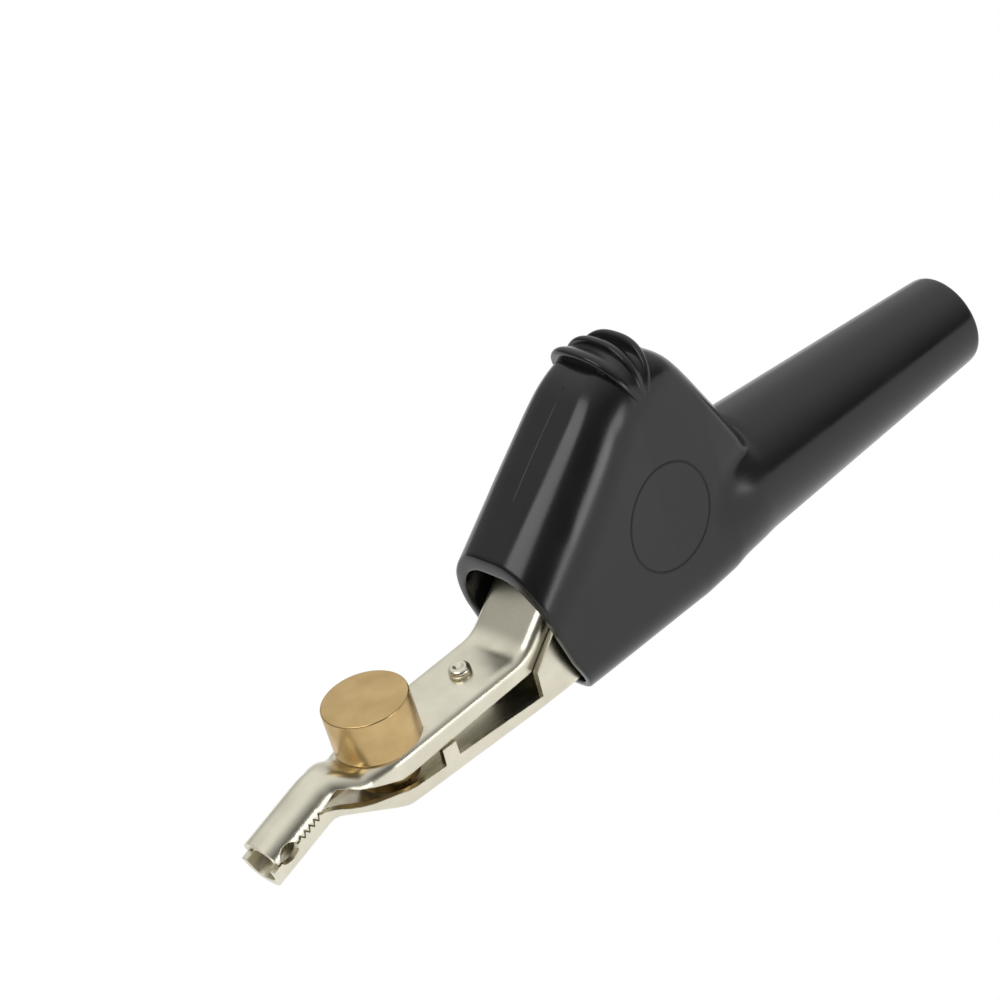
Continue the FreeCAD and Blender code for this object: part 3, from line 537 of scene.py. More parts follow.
def with_steps(stations, inward, outline):
    """The same stations, with more of them where the sheet's edge steps suddenly."""
    result = [stations[0]]
    for station in stations[1:]:
        waiting = [station]
        while waiting:
            here = result[-1]
            after = waiting[-1]
            step = abs(depth_at(here, inward, outline) - depth_at(after, inward, outline))
            if step > EDGE_STEP and abs(after[0] - here[0]) > LEAST_SPACING:
                waiting.append(tuple((a + b) / 2 for a, b in zip(here, after)))
            else:
                result.append(waiting.pop())
    return result


def folded_sheet(stations, outline, inward, widths, corners):
    """Skin of a jaw with its faces turned away from the flanges' side."""
    outline = [np.array(p, float) for p in outline]
    rows = []
    for station in with_steps(stations, inward, outline):
        half_width = float(along(widths, station[0]))
        corner = float(along(corners, station[0]))
        depth = depth_at(station, inward, outline)
        rows.append(folded_row(station, inward, half_width, corner, depth))
    bm = surface(rows)
    bm.normal_update()
    web = [f for f in bm.faces if abs(f.calc_center_median().y) < 1.0 * MM]
    up = sum((f.normal.z for f in web), 0.0)
    if up * inward < 0:
        bmesh.ops.reverse_faces(bm, faces=bm.faces)
    return bm


def fold(name, bm, material, body, node):
    """Gives a jaw's skin its sheet thickness and marks its crisp edges."""
    bmesh.ops.solidify(bm, geom=bm.faces[:], thickness=SHEET * MM)
    bmesh.ops.recalc_face_normals(bm, faces=bm.faces)
    crisp_edges(bm)
    return add_piece(name, bm, material, body, [node])


def teeth_line(rise, side):
    """Edge of a nose half past its notch and its teeth."""
    points = [nose_point(PAST_TIP, rise)]
    for i in range(NOTCH_STEPS + 1):
        angle = math.pi * (1 - i / NOTCH_STEPS)
        s = NOTCH_FROM_TIP + NOTCH_LENGTH / 2 * math.cos(angle)
        height = max(math.sin(angle), NOTCH_LEAST)
        points.append(nose_point(s, SPLIT_RISE + side * NOTCH_HEIGHT / 2 * height))
    points.append(nose_point(TEETH_FROM_TIP, rise))
    for i in range(TOOTH_COUNT):
        start = TEETH_FROM_TIP + i * TOOTH_PITCH
        foot = TOOTH_HEIGHT / 2 * (i < TOOTH_COUNT - 1)
        points.append(nose_point(start + TOOTH_PITCH / 2, rise + TOOTH_HEIGHT / 2))
        points.append(nose_point(start + TOOTH_PITCH, rise - foot))
    points.append(nose_point(TEETH_FROM_TIP + TOOTH_PITCH * TOOTH_COUNT + TEETH_RUN_OUT, rise))
    return points


def nose_marks(rise):
    """Places along X of the sections through the notch and the teeth."""
    half = NOTCH_LENGTH / 2
    marks = [NOTCH_FROM_TIP + half * math.cos(math.pi * i / NOTCH_STEPS)
             for i in range(NOTCH_STEPS + 1)]
    marks += [NOTCH_FROM_TIP - half - LEAST_SPACING, NOTCH_FROM_TIP + half + LEAST_SPACING]
    marks += [TEETH_FROM_TIP + TOOTH_PITCH / 2 * i for i in range(2 * TOOTH_COUNT + 1)]
    return [nose_point(s, rise)[0] for s in marks]


def ear_arc(first, last, steps=16):
    angles = [math.radians(first + (last - first) * i / steps) for i in range(steps + 1)]
    return [PIN + EAR_RADIUS * run_of(a) for a in angles]


def steps_at(*places):
    """Pairs of places either side of a sharp step in a flange."""
    return [p + d for p in places for d in (-STEP_OFFSET, STEP_OFFSET)]


def upper_jaw(material):
    end = HANDLE_FOOT + HANDLE_RUN * HANDLE_LENGTH
    under = HANDLE_UNDER * HANDLE_FLANGE
    crest_x = TAPER_END_X + 0.2
    corners = [nose_point(0, NOSE_RADIUS), (crest_x, nose_z(crest_x, NOSE_RADIUS)),
               PLATE_FRONT, PLATE_BEND, HANDLE_FOOT, end]
    line = bent_line(corners, UPPER_BENDS)
    stations = with_places(line, nose_marks(NOSE_RADIUS), UPPER_SPACING)
    outline = teeth_line(SPLIT_RISE + JAW_GAP / 2, 1) + [
        (TAPER_END_X, nose_z(TAPER_END_X, NOSE_RADIUS) - 1.7),
        (TAPER_END_X + 1.2, PLATE_FRONT[1] - 0.35),
        (TAPER_END_X + 2.2, PLATE_FRONT[1] - 1.0),
        (TAPER_END_X + 4.0, PLATE_FRONT[1] - 1.75),
        (TAPER_START_X, plate_z(TAPER_START_X) - UPPER_FLANGE),
        (PLATE_BEND[0], PLATE_BEND[1] - UPPER_FLANGE_REAR),
        (PLATE_BEND[0] + UPPER_FLANGE_REAR, PLATE_BEND[1] - UPPER_FLANGE_REAR + 0.4),
    ] + ear_arc(215, 340) + [HANDLE_FOOT + under + HANDLE_RUN * 2.5, end + under + HANDLE_RUN * 4]
    widths = [(TAPER_END_X - 0.6, NOSE_RADIUS), (TAPER_END_X + 1.6, NOSE_RADIUS + 0.6),
              (TAPER_START_X - 1.4, HALF_JAW - 0.3), (TAPER_START_X, HALF_JAW),
              (HANDLE_BEND_X + 1.5, HALF_JAW), (HANDLE_BEND_X + 4.0, HANDLE_HALF_WIDTH)]
    rounds = [(TAPER_END_X, NOSE_CORNER), (TAPER_START_X, BEND_RADIUS)]
    sheet = folded_sheet(stations, outline, 1, widths, rounds)
    return fold("upper_jaw_sheet", sheet, material, LEVER_BODY, "upper_jaw")


def lower_jaw(material):
    crest_x = TAPER_END_X - 0.4
    corners = [nose_point(-LOWER_NOSE_LEAD, -NOSE_RADIUS), (crest_x, nose_z(crest_x, -NOSE_RADIUS)),
               (TAPER_START_X, FLOOR_Z), (RAMP_FOOT_X, floor_z(RAMP_FOOT_X)),
               (STRIP_FRONT_X, STRIP_Z), (STRIP_END_X, STRIP_Z)]
    tab_front = TAB_X - TAB_WIDTH / 2
    tab_rear = TAB_X + TAB_WIDTH / 2
    tab_top = plate_z(TAB_X) - UPPER_FLANGE - TAB_GAP
    wing_front = STRIP_END_X - WING_LENGTH
    wing_rear = STRIP_END_X - WING_FROM_END
    wing_foot = TERMINAL_Z + WING_FOOT_RISE
    wing_top = TERMINAL_Z + WING_RISE
    marks = nose_marks(-NOSE_RADIUS)
    marks += steps_at(tab_front, tab_rear, EAR_FRONT_X, wing_front, wing_rear)
    stations = with_places(bent_line(corners, LOWER_BENDS), marks, LOWER_SPACING)
    top = LOWER_FLANGE_TOP
    outline = teeth_line(SPLIT_RISE - JAW_GAP / 2, -1) + [
        (TAPER_END_X - 0.4, top + 2.1), (TAPER_END_X + 1.0, top + 1.25),
        (TAPER_END_X + 2.5, top + 0.7), (TAPER_START_X + 1.0, top), (tab_front, top),
        (tab_front, tab_top), (tab_rear, tab_top + 0.1), (tab_rear, top + REAR_FLANGE_RISE),
        (EAR_FRONT_X, top + REAR_FLANGE_RISE), (EAR_FRONT_X, top + EAR_FRONT_RISE),
    ] + ear_arc(135, 0) + [
        (EAR_END_X, floor_z(EAR_END_X) + 2.4), (RAMP_FOOT_X, floor_z(RAMP_FOOT_X) + 2.2),
        (STRIP_FRONT_X, wing_foot), (wing_front, wing_foot), (wing_front, wing_top),
        (wing_rear, wing_top), (wing_rear, wing_foot), (STRIP_END_X + 2, wing_foot),
    ]
    widths = [(TAPER_END_X - 0.6, NOSE_RADIUS), (TAPER_START_X, HALF_JAW),
              (EAR_FRONT_X - 0.3, HALF_EARS), (EAR_END_X, HALF_EARS),
              (EAR_END_X + 8.0, STRIP_HALF_WIDTH)]
    rounds = [(TAPER_END_X, NOSE_CORNER), (TAPER_START_X, BEND_RADIUS)]
    sheet = folded_sheet(stations, outline, -1, widths, rounds)
    return fold("lower_jaw_sheet", sheet, material, BASE_BODY, "lower_jaw")


# Boot


def crown(x, wall):
    """Height of the hump's top, or of the room under it, along X."""
    radius = PEAK_RADIUS - wall
    off = x - PEAK_X
    rise = PEAK_CENTRE_Z + radius / math.cos(HUMP_SLOPE) + off * math.tan(HUMP_SLOPE)
    fall = PEAK_CENTRE_Z + radius / math.cos(HUMP_FALL) - off * math.tan(HUMP_FALL)
    arc = PEAK_CENTRE_Z + np.sqrt(np.maximum(radius ** 2 - off ** 2, 0.01))
    rear = np.where(off > radius * math.sin(HUMP_FALL), fall, arc)
    return np.where(off < -radius * math.sin(HUMP_SLOPE), rise, rear)


def rounded_and(a, b, r):
    """Distance to the corner between two faces, rounded by a radius."""
    corner = np.hypot(np.maximum(a + r, 0), np.maximum(b + r, 0)) - r
    return np.where((a > -r) & (b > -r), corner, np.maximum(a, b))


def hump_field(x, y, z, inset):
    """Below zero inside the hump, set in by a share of its wall."""
    low = along(BELLY, x) + BELLY_WALL * inset
    high = crown(x, TOP_WALL * inset)
    share = np.clip((z - low) / np.maximum(high - low, 1.0), 0, SIDE_PAST_TOP)
    low_half = along(BELLY_WIDTHS, x) - SIDE_WALL * inset
    top_half = along(TOP_WIDTHS, x) - SIDE_WALL * inset
    side = np.abs(y) - (low_half + (top_half - low_half) * share)
    top_edge = along(TOP_EDGE, x) - SIDE_WALL * inset
    low_edge = along(BELLY_EDGE, x) * (1 - inset) + INNER_EDGE * inset
    above = (z - high) * along(TOP_SQUASH, x)
    return np.maximum(rounded_and(side, above, top_edge), rounded_and(side, low - z, low_edge))


def tail_radius(x):
    return TAIL_END_RADIUS - TAIL_TAPER * x


def boot_field(x, y, z):
    """Below zero inside the boot's outside: hump and tail with a rounded crease."""
    hump = rounded_and(hump_field(x, y, z, 0.0), x - HUMP_REAR_X, HUMP_REAR_ROUND)
    start = np.clip((x - TAIL_START_X) / TAIL_BLEND, -1.0, 1.0)
    tail = np.hypot(y, z - TAIL_Z) - tail_radius(x) + TAIL_SINK * (1 - start) ** 2
    mix = np.clip(0.5 + 0.5 * (tail - hump) / CREASE_ROUND, 0, 1)
    joined = tail + (hump - tail) * mix - CREASE_ROUND * mix * (1 - mix)
    near = np.exp(-(hump ** 2 + tail ** 2) / CREASE_WIDTH ** 2)
    upper = np.clip((z - TAIL_Z - CREASE_FOOT) / CREASE_FADE, 0, 1)
    return joined + CREASE_DEPTH * near * upper


def section(field, x_of, centre_z):
    """Closed section where a field is zero, with its points evenly spaced along it."""
    angles = np.linspace(-math.pi / 2, math.pi / 2, SECTION_ANGLES)
    near = np.zeros_like(angles)
    far = np.full_like(angles, SECTION_REACH)
    for _ in range(SECTION_HALVINGS):
        middle = (near + far) / 2
        y = middle * np.cos(angles)
        z = centre_z + middle * np.sin(angles)
        inside = field(x_of(z), y, z) < 0
        near = np.where(inside, middle, near)
        far = np.where(inside, far, middle)
    y = near * np.cos(angles)
    z = np.maximum(centre_z + near * np.sin(angles), 0.0)
    lengths = np.concatenate(([0.0], np.cumsum(np.hypot(np.diff(y), np.diff(z)))))
    marks = np.linspace(0, lengths[-1], BOOT_SIDES // 2 + 1)
    ys = np.interp(marks, lengths, y)
    zs = np.interp(marks, lengths, z)
    half = [(float(x_of(b)), float(a), float(b)) for a, b in zip(ys, zs)]
    other = [(x, -y, z) for x, y, z in reversed(half[1:-1])]
    return [place(*p) for p in half + other]


def round_section(x, radius):
    angles = [-math.pi / 2 + WHOLE * i / BOOT_SIDES for i in range(BOOT_SIDES)]
    return [place(x, radius * math.cos(a), TAIL_Z + radius * math.sin(a)) for a in angles]


def behind_rim(back):
    """Section's X by height, set back from the mouth's rim."""
    return lambda z: along(MOUTH_RIM, z) + back


def leaning(share):
    """Section's X by height, from the rim's lean at 0 to upright at 1."""
    return lambda z: (along(MOUTH_RIM, z) + RIM_LEAD) * (1 - share) + SQUARE_X * share


def upright(x):
    return lambda z: x + 0.0 * z


def hump_inside(inset):
    return lambda x, y, z: hump_field(x, y, z, inset)


def boot_rows():
    """Sections from the mouth back over the outside, in at the lead's bore and forward inside."""
    rows = [section(boot_field, behind_rim(back), RIM_CENTRE_Z) for back in LIP_OUTSIDE]
    for i in range(1, LEANING_ROWS + 1):
        rows.append(section(boot_field, leaning(i / LEANING_ROWS), HUMP_CENTRE_Z))
    x = SQUARE_X + FIRST_STEP
    while x < FIELD_END_X:
        fall = min(1, max(0, (x - CENTRE_FALL_X) / CENTRE_FALL))
        rows.append(section(boot_field, upright(x), HUMP_CENTRE_Z + (TAIL_Z - HUMP_CENTRE_Z) * fall))
        x += FIELD_STEP
    rows += [round_section(x, float(tail_radius(x))) for x in TAIL_PLACES]
    rows += [round_section(x, TAIL_END_RADIUS - inset) for x, inset in TAIL_LIP]
    rows += [round_section(x, radius) for x, radius in TAIL_BORE]
    inner = hump_inside(1.0)
    rows += [section(inner, upright(x), HUMP_CENTRE_Z) for x in INNER_PLACES]
    rows += [section(inner, leaning(share), RIM_CENTRE_Z) for share in INNER_SHARES]
    for back, inset in LIP_INSIDE:
        rows.append(section(hump_inside(inset), behind_rim(back), RIM_CENTRE_Z))
    return rows


def boot_body(material):
    skin = surface(boot_rows(), True, True)
    obj = add_piece("boot_shell", skin, material, None, ["boot"])
    smoother(obj)
    return obj


def boot_ridge(number, lean, height, material):
    """One crescent lip over the crown: a steep front, a rounded lip and a long fall behind."""
    lean = math.radians(lean)
    out = np.array((math.sin(lean), math.cos(lean)))
    back = np.array((math.cos(lean), -math.sin(lean)))
    rows = []
    for i in range(RIDGE_STEPS + 1):
        share = math.sin((i / RIDGE_STEPS - 0.5) * math.pi)
        y = share * RIDGE_HALF_WIDTH
        size = max(1 - abs(share) ** RIDGE_POWER, 0.0) ** (1 / RIDGE_POWER)
        shrink = max(size, RIDGE_LEAST)
        row = []
        for t, rise in RIDGE_PROFILE:
            point = RIDGE_HUB + out * (height * size + rise * shrink) + back * (t * shrink)
            row.append(place(point[0], y, point[1]))
        rows.append(row)
    bm = cap_ends(surface(rows, True))
    obj = add_piece("boot_ridge_%d" % number, bm, material, None)
    smoother(obj)
    return obj


def side_face(x, z):
    """Half width of the boot's outside at a place on its side."""
    near = 0.0
    far = 12.0
    for _ in range(30):
        middle = (near + far) / 2
        if boot_field(np.array(x), np.array(middle), np.array(z)) < 0:
            near = middle
        else:
            far = middle
    return near


def boot_ring(side, material):
    """Thin circle let into one side of the hump, coloured darker than the PVC as painted shade of its
    groove.
    """
    rows = []
    for i in range(RING_STEPS + 1):
        angle = WHOLE * i / RING_STEPS
        row = []
        for k in range(RING_SIDES):
            turn = WHOLE * k / RING_SIDES
            radius = RING_RADIUS + RING_LINE_WIDTH * math.cos(turn)
            x = RING_CENTRE[0] + radius * math.cos(angle)
            z = RING_CENTRE[1] + radius * math.sin(angle)
            y = side_face(x, z) - RING_LINE_SINK + RING_LINE_HEIGHT * math.sin(turn)
            row.append(place(x, side * y, z))
        rows.append(row)
    name = "boot_ring_left" if side > 0 else "boot_ring_right"
    return add_piece(name, surface(rows, True), material, None)


def boot_seam(material):
    """Fine parting line down the middle of the hump's front."""
    rows = []
    for i in range(SEAM_STEPS + 1):
        x = SEAM_FRONT_X + SEAM_LENGTH * i / SEAM_STEPS
        z = float(crown(np.array(x), 0.0))
        fade = math.sin(math.pi * i / SEAM_STEPS)
        rows.append([place(x, y, z - SEAM_SINK + h * fade) for y, h in SEAM_SECTION])
    return add_piece("boot_seam", cap_ends(surface(rows, True)), material, None)


# Spring


def coil_run(angle):
    """Direction of the wire at an angle round the coil."""
    around = Vector((-math.sin(angle), 0, math.cos(angle))) * COIL_RADIUS
    return (around + Vector((0, -COIL_PITCH / WHOLE, 0))).normalized()


def torsion_spring(material):
    """Coil round the pin whose two legs leave it at a tangent."""
    back = SHEET + WIRE_RADIUS + SPRING_GAP
    first = HANDLE_FOOT + HANDLE_RUN * UPPER_LEG + HANDLE_UNDER * back - PIN
    lower_x = PIN[0] + LOWER_LEG
    last = np.array((lower_x, floor_z(lower_x) + back)) - PIN
    start = math.atan2(first[1], first[0]) + math.acos(COIL_RADIUS / np.linalg.norm(first))
    end = math.atan2(last[1], last[0]) - math.acos(COIL_RADIUS / np.linalg.norm(last))
    turns = (end - start) / WHOLE + round(COIL_TURNS - (end - start) / WHOLE)
    height = COIL_PITCH * turns
    steps = math.ceil(turns * COIL_STEPS)
    centre = Vector((PIN[0], 0, PIN[1]))
    path = []
    for i in range(steps + 1):
        angle = start + turns * WHOLE * i / steps
        out = Vector((math.cos(angle), 0, math.sin(angle)))
        point = centre + out * COIL_RADIUS + Vector((0, height / 2 - height * i / steps, 0))
        path.append((point, coil_run(angle), out))
    leg_in = math.sqrt(float(first @ first) - COIL_RADIUS ** 2)
    leg_out = math.sqrt(float(last @ last) - COIL_RADIUS ** 2)
    point, run, out = path[0]
    path = [(point - run * leg_in * s, run, out) for s in reversed(LEG_SHARES)] + path
    point, run, out = path[-1]
    path += [(point + run * leg_out * s, run, out) for s in LEG_SHARES]
    rows = []
    for point, run, out in path:
        side = run.cross(out)
        row = []
        for k in range(WIRE_SIDES):
            angle = WHOLE * k / WIRE_SIDES
            p = point + (out * math.cos(angle) + side * math.sin(angle)) * WIRE_RADIUS
            row.append(place(p.x, p.y, p.z))
        rows.append(row)
    bm = cap_ends(surface(rows, True))
    return add_piece("spring_wire", bm, material, None, ["torsion_spring"])


# Turned pieces


def barrel_and_bed(foot, low, deep, material):
    """Brass barrel on the plate and, under it, the recessed bed with its shank."""
    r = BARREL_RADIUS
    h = BARREL_HEIGHT
    bore = SHANK_LENGTH + SHANK_ROOM
    profile = rounded_profile([(0.0, bore), (SHANK_RADIUS, bore), (SHANK_RADIUS, 0.0), (r, 0.0),
                               (r, h), (0.0, h)], BARREL_ROUND, 5)
    barrel = turned(profile, foot, PLATE_UP, 120)
    add_piece("barrel", barrel, material, LEVER_BODY, ["nail_barrel"])
    profile = rounded_profile([(0.0, deep), (BED_RECESS_RADIUS, deep), (BED_RECESS_RADIUS, low),
                               (BED_RADIUS, low), (BED_RADIUS, -SHEET), (SHANK_RADIUS, -SHEET),
                               (SHANK_RADIUS, SHANK_LENGTH), (0.0, SHANK_LENGTH)], SMALL_ROUND, 3)
    bed = turned(profile, foot, PLATE_UP, 80)
    add_piece("bed", bed, material, LEVER_BODY, ["nail_bed"])


def needles(foot, low, deep, material):
    """One needle in the bed's middle and the others in a circle round it."""
    spots = [(0.0, 0.0)]
    for i in range(NEEDLES_ROUND):
        angle = math.radians(45 + 90 * i)
        spots.append((NEEDLE_CIRCLE * math.cos(angle), NEEDLE_CIRCLE * math.sin(angle)))
    tip = low + NEEDLE_INSET
    profile = [(0.0, tip), (POINT_RADIUS, tip + 0.03), (NEEDLE_RADIUS, tip + NEEDLE_POINT),
               (NEEDLE_RADIUS, deep + NEEDLE_ROOT), (0.0, deep + NEEDLE_ROOT)]
    turn = Vector((0, 0, 1)).rotation_difference(PLATE_UP)
    for i, (u, v) in enumerate(spots):
        base = foot + turn @ Vector((u, v, 0)) * MM
        needle = turned(profile, base, PLATE_UP, 24)
        add_piece("needle_pin_%d" % (i + 1), needle, material, LEVER_BODY,
                  ["needle_%d" % (i + 1)])


def spike(material):
    """Piercing spike held by a collar under the plate and a dished head on it."""
    profile = [(0.0, -SPIKE_REACH), (POINT_RADIUS, -SPIKE_REACH + 0.05),
               (SPIKE_RADIUS, -SPIKE_REACH + SPIKE_POINT), (SPIKE_RADIUS, -SHEET - 0.7),
               (SPIKE_COLLAR - 0.1, -SHEET - 0.68), (SPIKE_COLLAR, -SHEET - 0.55),
               (SPIKE_COLLAR, -SHEET), (SPIKE_RADIUS, -SHEET), (SPIKE_RADIUS, 0.0)]
    profile += [(SPIKE_HEAD_RADIUS * r, SPIKE_HEAD_HEIGHT * h) for r, h in SPIKE_HEAD]
    bm = turned(profile, place(SPIKE_X, 0, plate_z(SPIKE_X)), PLATE_UP, 48)
    add_piece("spike_pin", bm, material, LEVER_BODY, ["spike"])


def rivet(material):
    """Hinge pin with a low head outside each of the lower jaw's ears."""
    out = HALF_EARS
    tall = out + PIN_HEAD_THICKNESS
    head = PIN_HEAD_RADIUS
    half = [(PIN_RADIUS, out), (head, out), (head, out + 0.1), (head * 0.93, out + 0.2),
            (head * 0.75, tall - 0.06), (head * 0.5, tall), (0.0, tall)]
    profile = [(radius, -y) for radius, y in reversed(half)] + half
    bm = turned(profile, place(PIN[0], 0, PIN[1]), Vector((0, 1, 0)), 48)
    add_piece("rivet", bm, material, BASE_BODY, ["hinge_pin"])


def terminal_washer(material):
    w = WASHER_RADIUS
    t = WASHER_THICKNESS
    r = SCREW_RADIUS
    profile = rounded_profile([(r, t / 2), (r, 0.0), (w, 0.0), (w, t), (r, t), (r, t / 2)],
                              WASHER_ROUND, 3)
    bm = turned(profile, place(TERMINAL_X, 0, TERMINAL_Z), Vector((0, 0, 1)), 64)
    add_piece("washer", bm, material, BASE_BODY, ["terminal_washer"])


def terminal_screw(material):
    """Cheese-head screw; its slot is sunk after the head's top face is divided."""
    base = place(TERMINAL_X, 0, TERMINAL_Z + WASHER_THICKNESS)
    r = SCREW_HEAD_RADIUS
    h = SCREW_HEAD_HEIGHT
    profile = rounded_profile([(0.0, -SCREW_LENGTH), (SCREW_RADIUS - SCREW_TIP_CHAMFER, -SCREW_LENGTH),
                               (SCREW_RADIUS, SCREW_TIP_CHAMFER - SCREW_LENGTH), (SCREW_RADIUS, 0.0),
                               (r, 0.0), (r, h - 0.4), (r - 0.45, h), (0.0, h)], SMALL_ROUND, 3)
    bm = turned(profile, base, Vector((0, 0, 1)), 64)
    for sign in (-1, 1):
        geom = bm.verts[:] + bm.edges[:] + bm.faces[:]
        edge = base + Vector((sign * SCREW_SLOT / 2 * MM, 0, 0))
        bmesh.ops.bisect_plane(bm, geom=geom, plane_co=edge, plane_no=(1, 0, 0))
    level = base.z + (h - SLOT_DEPTH) * MM
    for vert in bm.verts:
        if abs(vert.co.x - base.x) < (SCREW_SLOT / 2 - 0.05) * MM and vert.co.z > level:
            vert.co.z = level
    add_piece("screw", bm, material, BASE_BODY, ["terminal_screw"])


def turned_pieces(nickel, steel, brass):
    foot = place(BARREL_X, 0, plate_z(BARREL_X))
    low = BED_BOTTOM_Z - plate_z(BARREL_X)
    deep = low + BED_RECESS_DEPTH
    barrel_and_bed(foot, low, deep, brass)
    needles(foot, low, deep, steel)
    spike(nickel)
    rivet(nickel)
    terminal_washer(nickel)
    terminal_screw(steel)


# Shader groups, shared by the materials


def feed(links, socket, value):
    """Links a socket to another one, or sets its constant."""
    if isinstance(value, bpy.types.NodeSocket):
        links.new(value, socket)
    else:
        socket.default_value = value


def ranged(nodes, links, value, low, high, start=0.3, end=0.7):
    """Value carried from one range to another."""
    scale = nodes.new("ShaderNodeMapRange")
    scale.inputs["From Min"].default_value = start
    scale.inputs["From Max"].default_value = end
    feed(links, scale.inputs["To Min"], low)
    feed(links, scale.inputs["To Max"], high)
    links.new(value, scale.inputs["Value"])
    return scale.outputs["Result"]


def new_group(name, inputs, outputs):
    """Empty shader group, and the sockets that its nodes read and write."""
    group = bpy.data.node_groups.new(name, "ShaderNodeTree")
    for label, kind in inputs:
        group.interface.new_socket(label, in_out="INPUT", socket_type=kind)
    for label, kind in outputs:
        group.interface.new_socket(label, in_out="OUTPUT", socket_type=kind)
    given = group.nodes.new("NodeGroupInput").outputs
    result = group.nodes.new("NodeGroupOutput").inputs
    return group, given, result


def noise_from(group, given, vector):
    texture = group.nodes.new("ShaderNodeTexNoise")
    group.links.new(vector, texture.inputs["Vector"])
    group.links.new(given["Scale"], texture.inputs["Scale"])
    group.links.new(given["Detail"], texture.inputs["Detail"])
    return texture.outputs["Fac"]


def smudge_group():
    """Colour and roughness that drift together between a clean and a worn state."""
    group, given, result = new_group("smudges", (
        ("Vector", "NodeSocketVector"), ("Scale", "NodeSocketFloat"), ("Detail", "NodeSocketFloat"),
        ("Clean", "NodeSocketColor"), ("Worn", "NodeSocketColor"),
        ("Smooth", "NodeSocketFloat"), ("Rough", "NodeSocketFloat"),
    ), (("Color", "NodeSocketColor"), ("Roughness", "NodeSocketFloat")))
    nodes = group.nodes
    links = group.links
    fac = noise_from(group, given, given["Vector"])
    mix = nodes.new("ShaderNodeMix")
    mix.data_type = "RGBA"
    links.new(ranged(nodes, links, fac, 0, 1), mix.inputs["Factor"])
    links.new(given["Clean"], mix.inputs["A"])
    links.new(given["Worn"], mix.inputs["B"])
    links.new(mix.outputs["Result"], result["Color"])
    links.new(ranged(nodes, links, fac, given["Smooth"], given["Rough"]), result["Roughness"])
    return group


def grain_group():
    """Height of a fine noise, squeezed or drawn out along each axis."""
    group, given, result = new_group("grain", (
        ("Vector", "NodeSocketVector"), ("Stretch", "NodeSocketVector"),
        ("Scale", "NodeSocketFloat"), ("Detail", "NodeSocketFloat"),
    ), (("Height", "NodeSocketFloat"),))
    mapping = group.nodes.new("ShaderNodeMapping")
    group.links.new(given["Vector"], mapping.inputs["Vector"])
    group.links.new(given["Stretch"], mapping.inputs["Scale"])
    fac = noise_from(group, given, mapping.outputs["Vector"])
    group.links.new(fac, result["Height"])
    return group


SMUDGES = smudge_group()
GRAIN = grain_group()


# Materials


def new_material(name):
    material = bpy.data.materials.new(name)
    material.use_nodes = True
    nodes = material.node_tree.nodes
    return material, nodes, material.node_tree.links, nodes["Principled BSDF"]


def object_coordinates(nodes):
    return nodes.new("ShaderNodeTexCoord").outputs["Object"]


def smudged(nodes, links, shader, vector, scale, detail, clean, worn, smooth, rough):
    """Feeds the shader's colour and roughness from the smudges."""
    node = nodes.new("ShaderNodeGroup")
    node.node_tree = SMUDGES
    for label, value in (("Vector", vector), ("Scale", scale), ("Detail", detail),
                         ("Clean", (*clean, 1)), ("Worn", (*worn, 1)),
                         ("Smooth", smooth), ("Rough", rough)):
        feed(links, node.inputs[label], value)
    links.new(node.outputs["Color"], shader.inputs["Base Color"])
    links.new(node.outputs["Roughness"], shader.inputs["Roughness"])


def grained(nodes, links, vector, stretch, scale, detail):
    node = nodes.new("ShaderNodeGroup")
    node.node_tree = GRAIN
    for label, value in (("Vector", vector), ("Stretch", stretch), ("Scale", scale),
                         ("Detail", detail)):
        feed(links, node.inputs[label], value)
    return node.outputs["Height"]


def bumped(nodes, links, height, strength, normal=None):
    bump = nodes.new("ShaderNodeBump")
    bump.inputs["Strength"].default_value = strength
    bump.inputs["Distance"].default_value = BUMP_DEPTH * MM
    links.new(height, bump.inputs["Height"])
    if normal is not None:
        links.new(normal, bump.inputs["Normal"])
    return bump.outputs["Normal"]


def rubber(name, base, roughness):
    """Soft plastic with broad dull patches and a fine grain."""
    material, nodes, links, shader = new_material(name)
    coords = object_coordinates(nodes)
    lighter = tuple(c * LIGHTER for c in base)
    smudged(nodes, links, shader, coords, 120, 4, base, lighter, roughness - 0.03, roughness + 0.05)
    grain = grained(nodes, links, coords, (1, 1, 1), 2600, 2)
    links.new(bumped(nodes, links, grain, 0.12), shader.inputs["Normal"])
    shader.inputs["Specular IOR Level"].default_value = 0.5
    return material


def plated(name, clean, worn, roughness):
    """Plated sheet with smudges, rolling lines and softened edges."""
    material, nodes, links, shader = new_material(name)
    coords = object_coordinates(nodes)
    smudged(nodes, links, shader, coords, 260, 5, clean, worn, roughness, roughness + 0.12)
    rolled = grained(nodes, links, coords, (0.08, 1.6, 1.0), 1200, 3)
    bevel = nodes.new("ShaderNodeBevel")
    bevel.samples = 4
    bevel.inputs["Radius"].default_value = EDGE_ROUND * MM
    links.new(bumped(nodes, links, rolled, 0.06, bevel.outputs["Normal"]), shader.inputs["Normal"])
    shader.inputs["Metallic"].default_value = 1.0
    return material


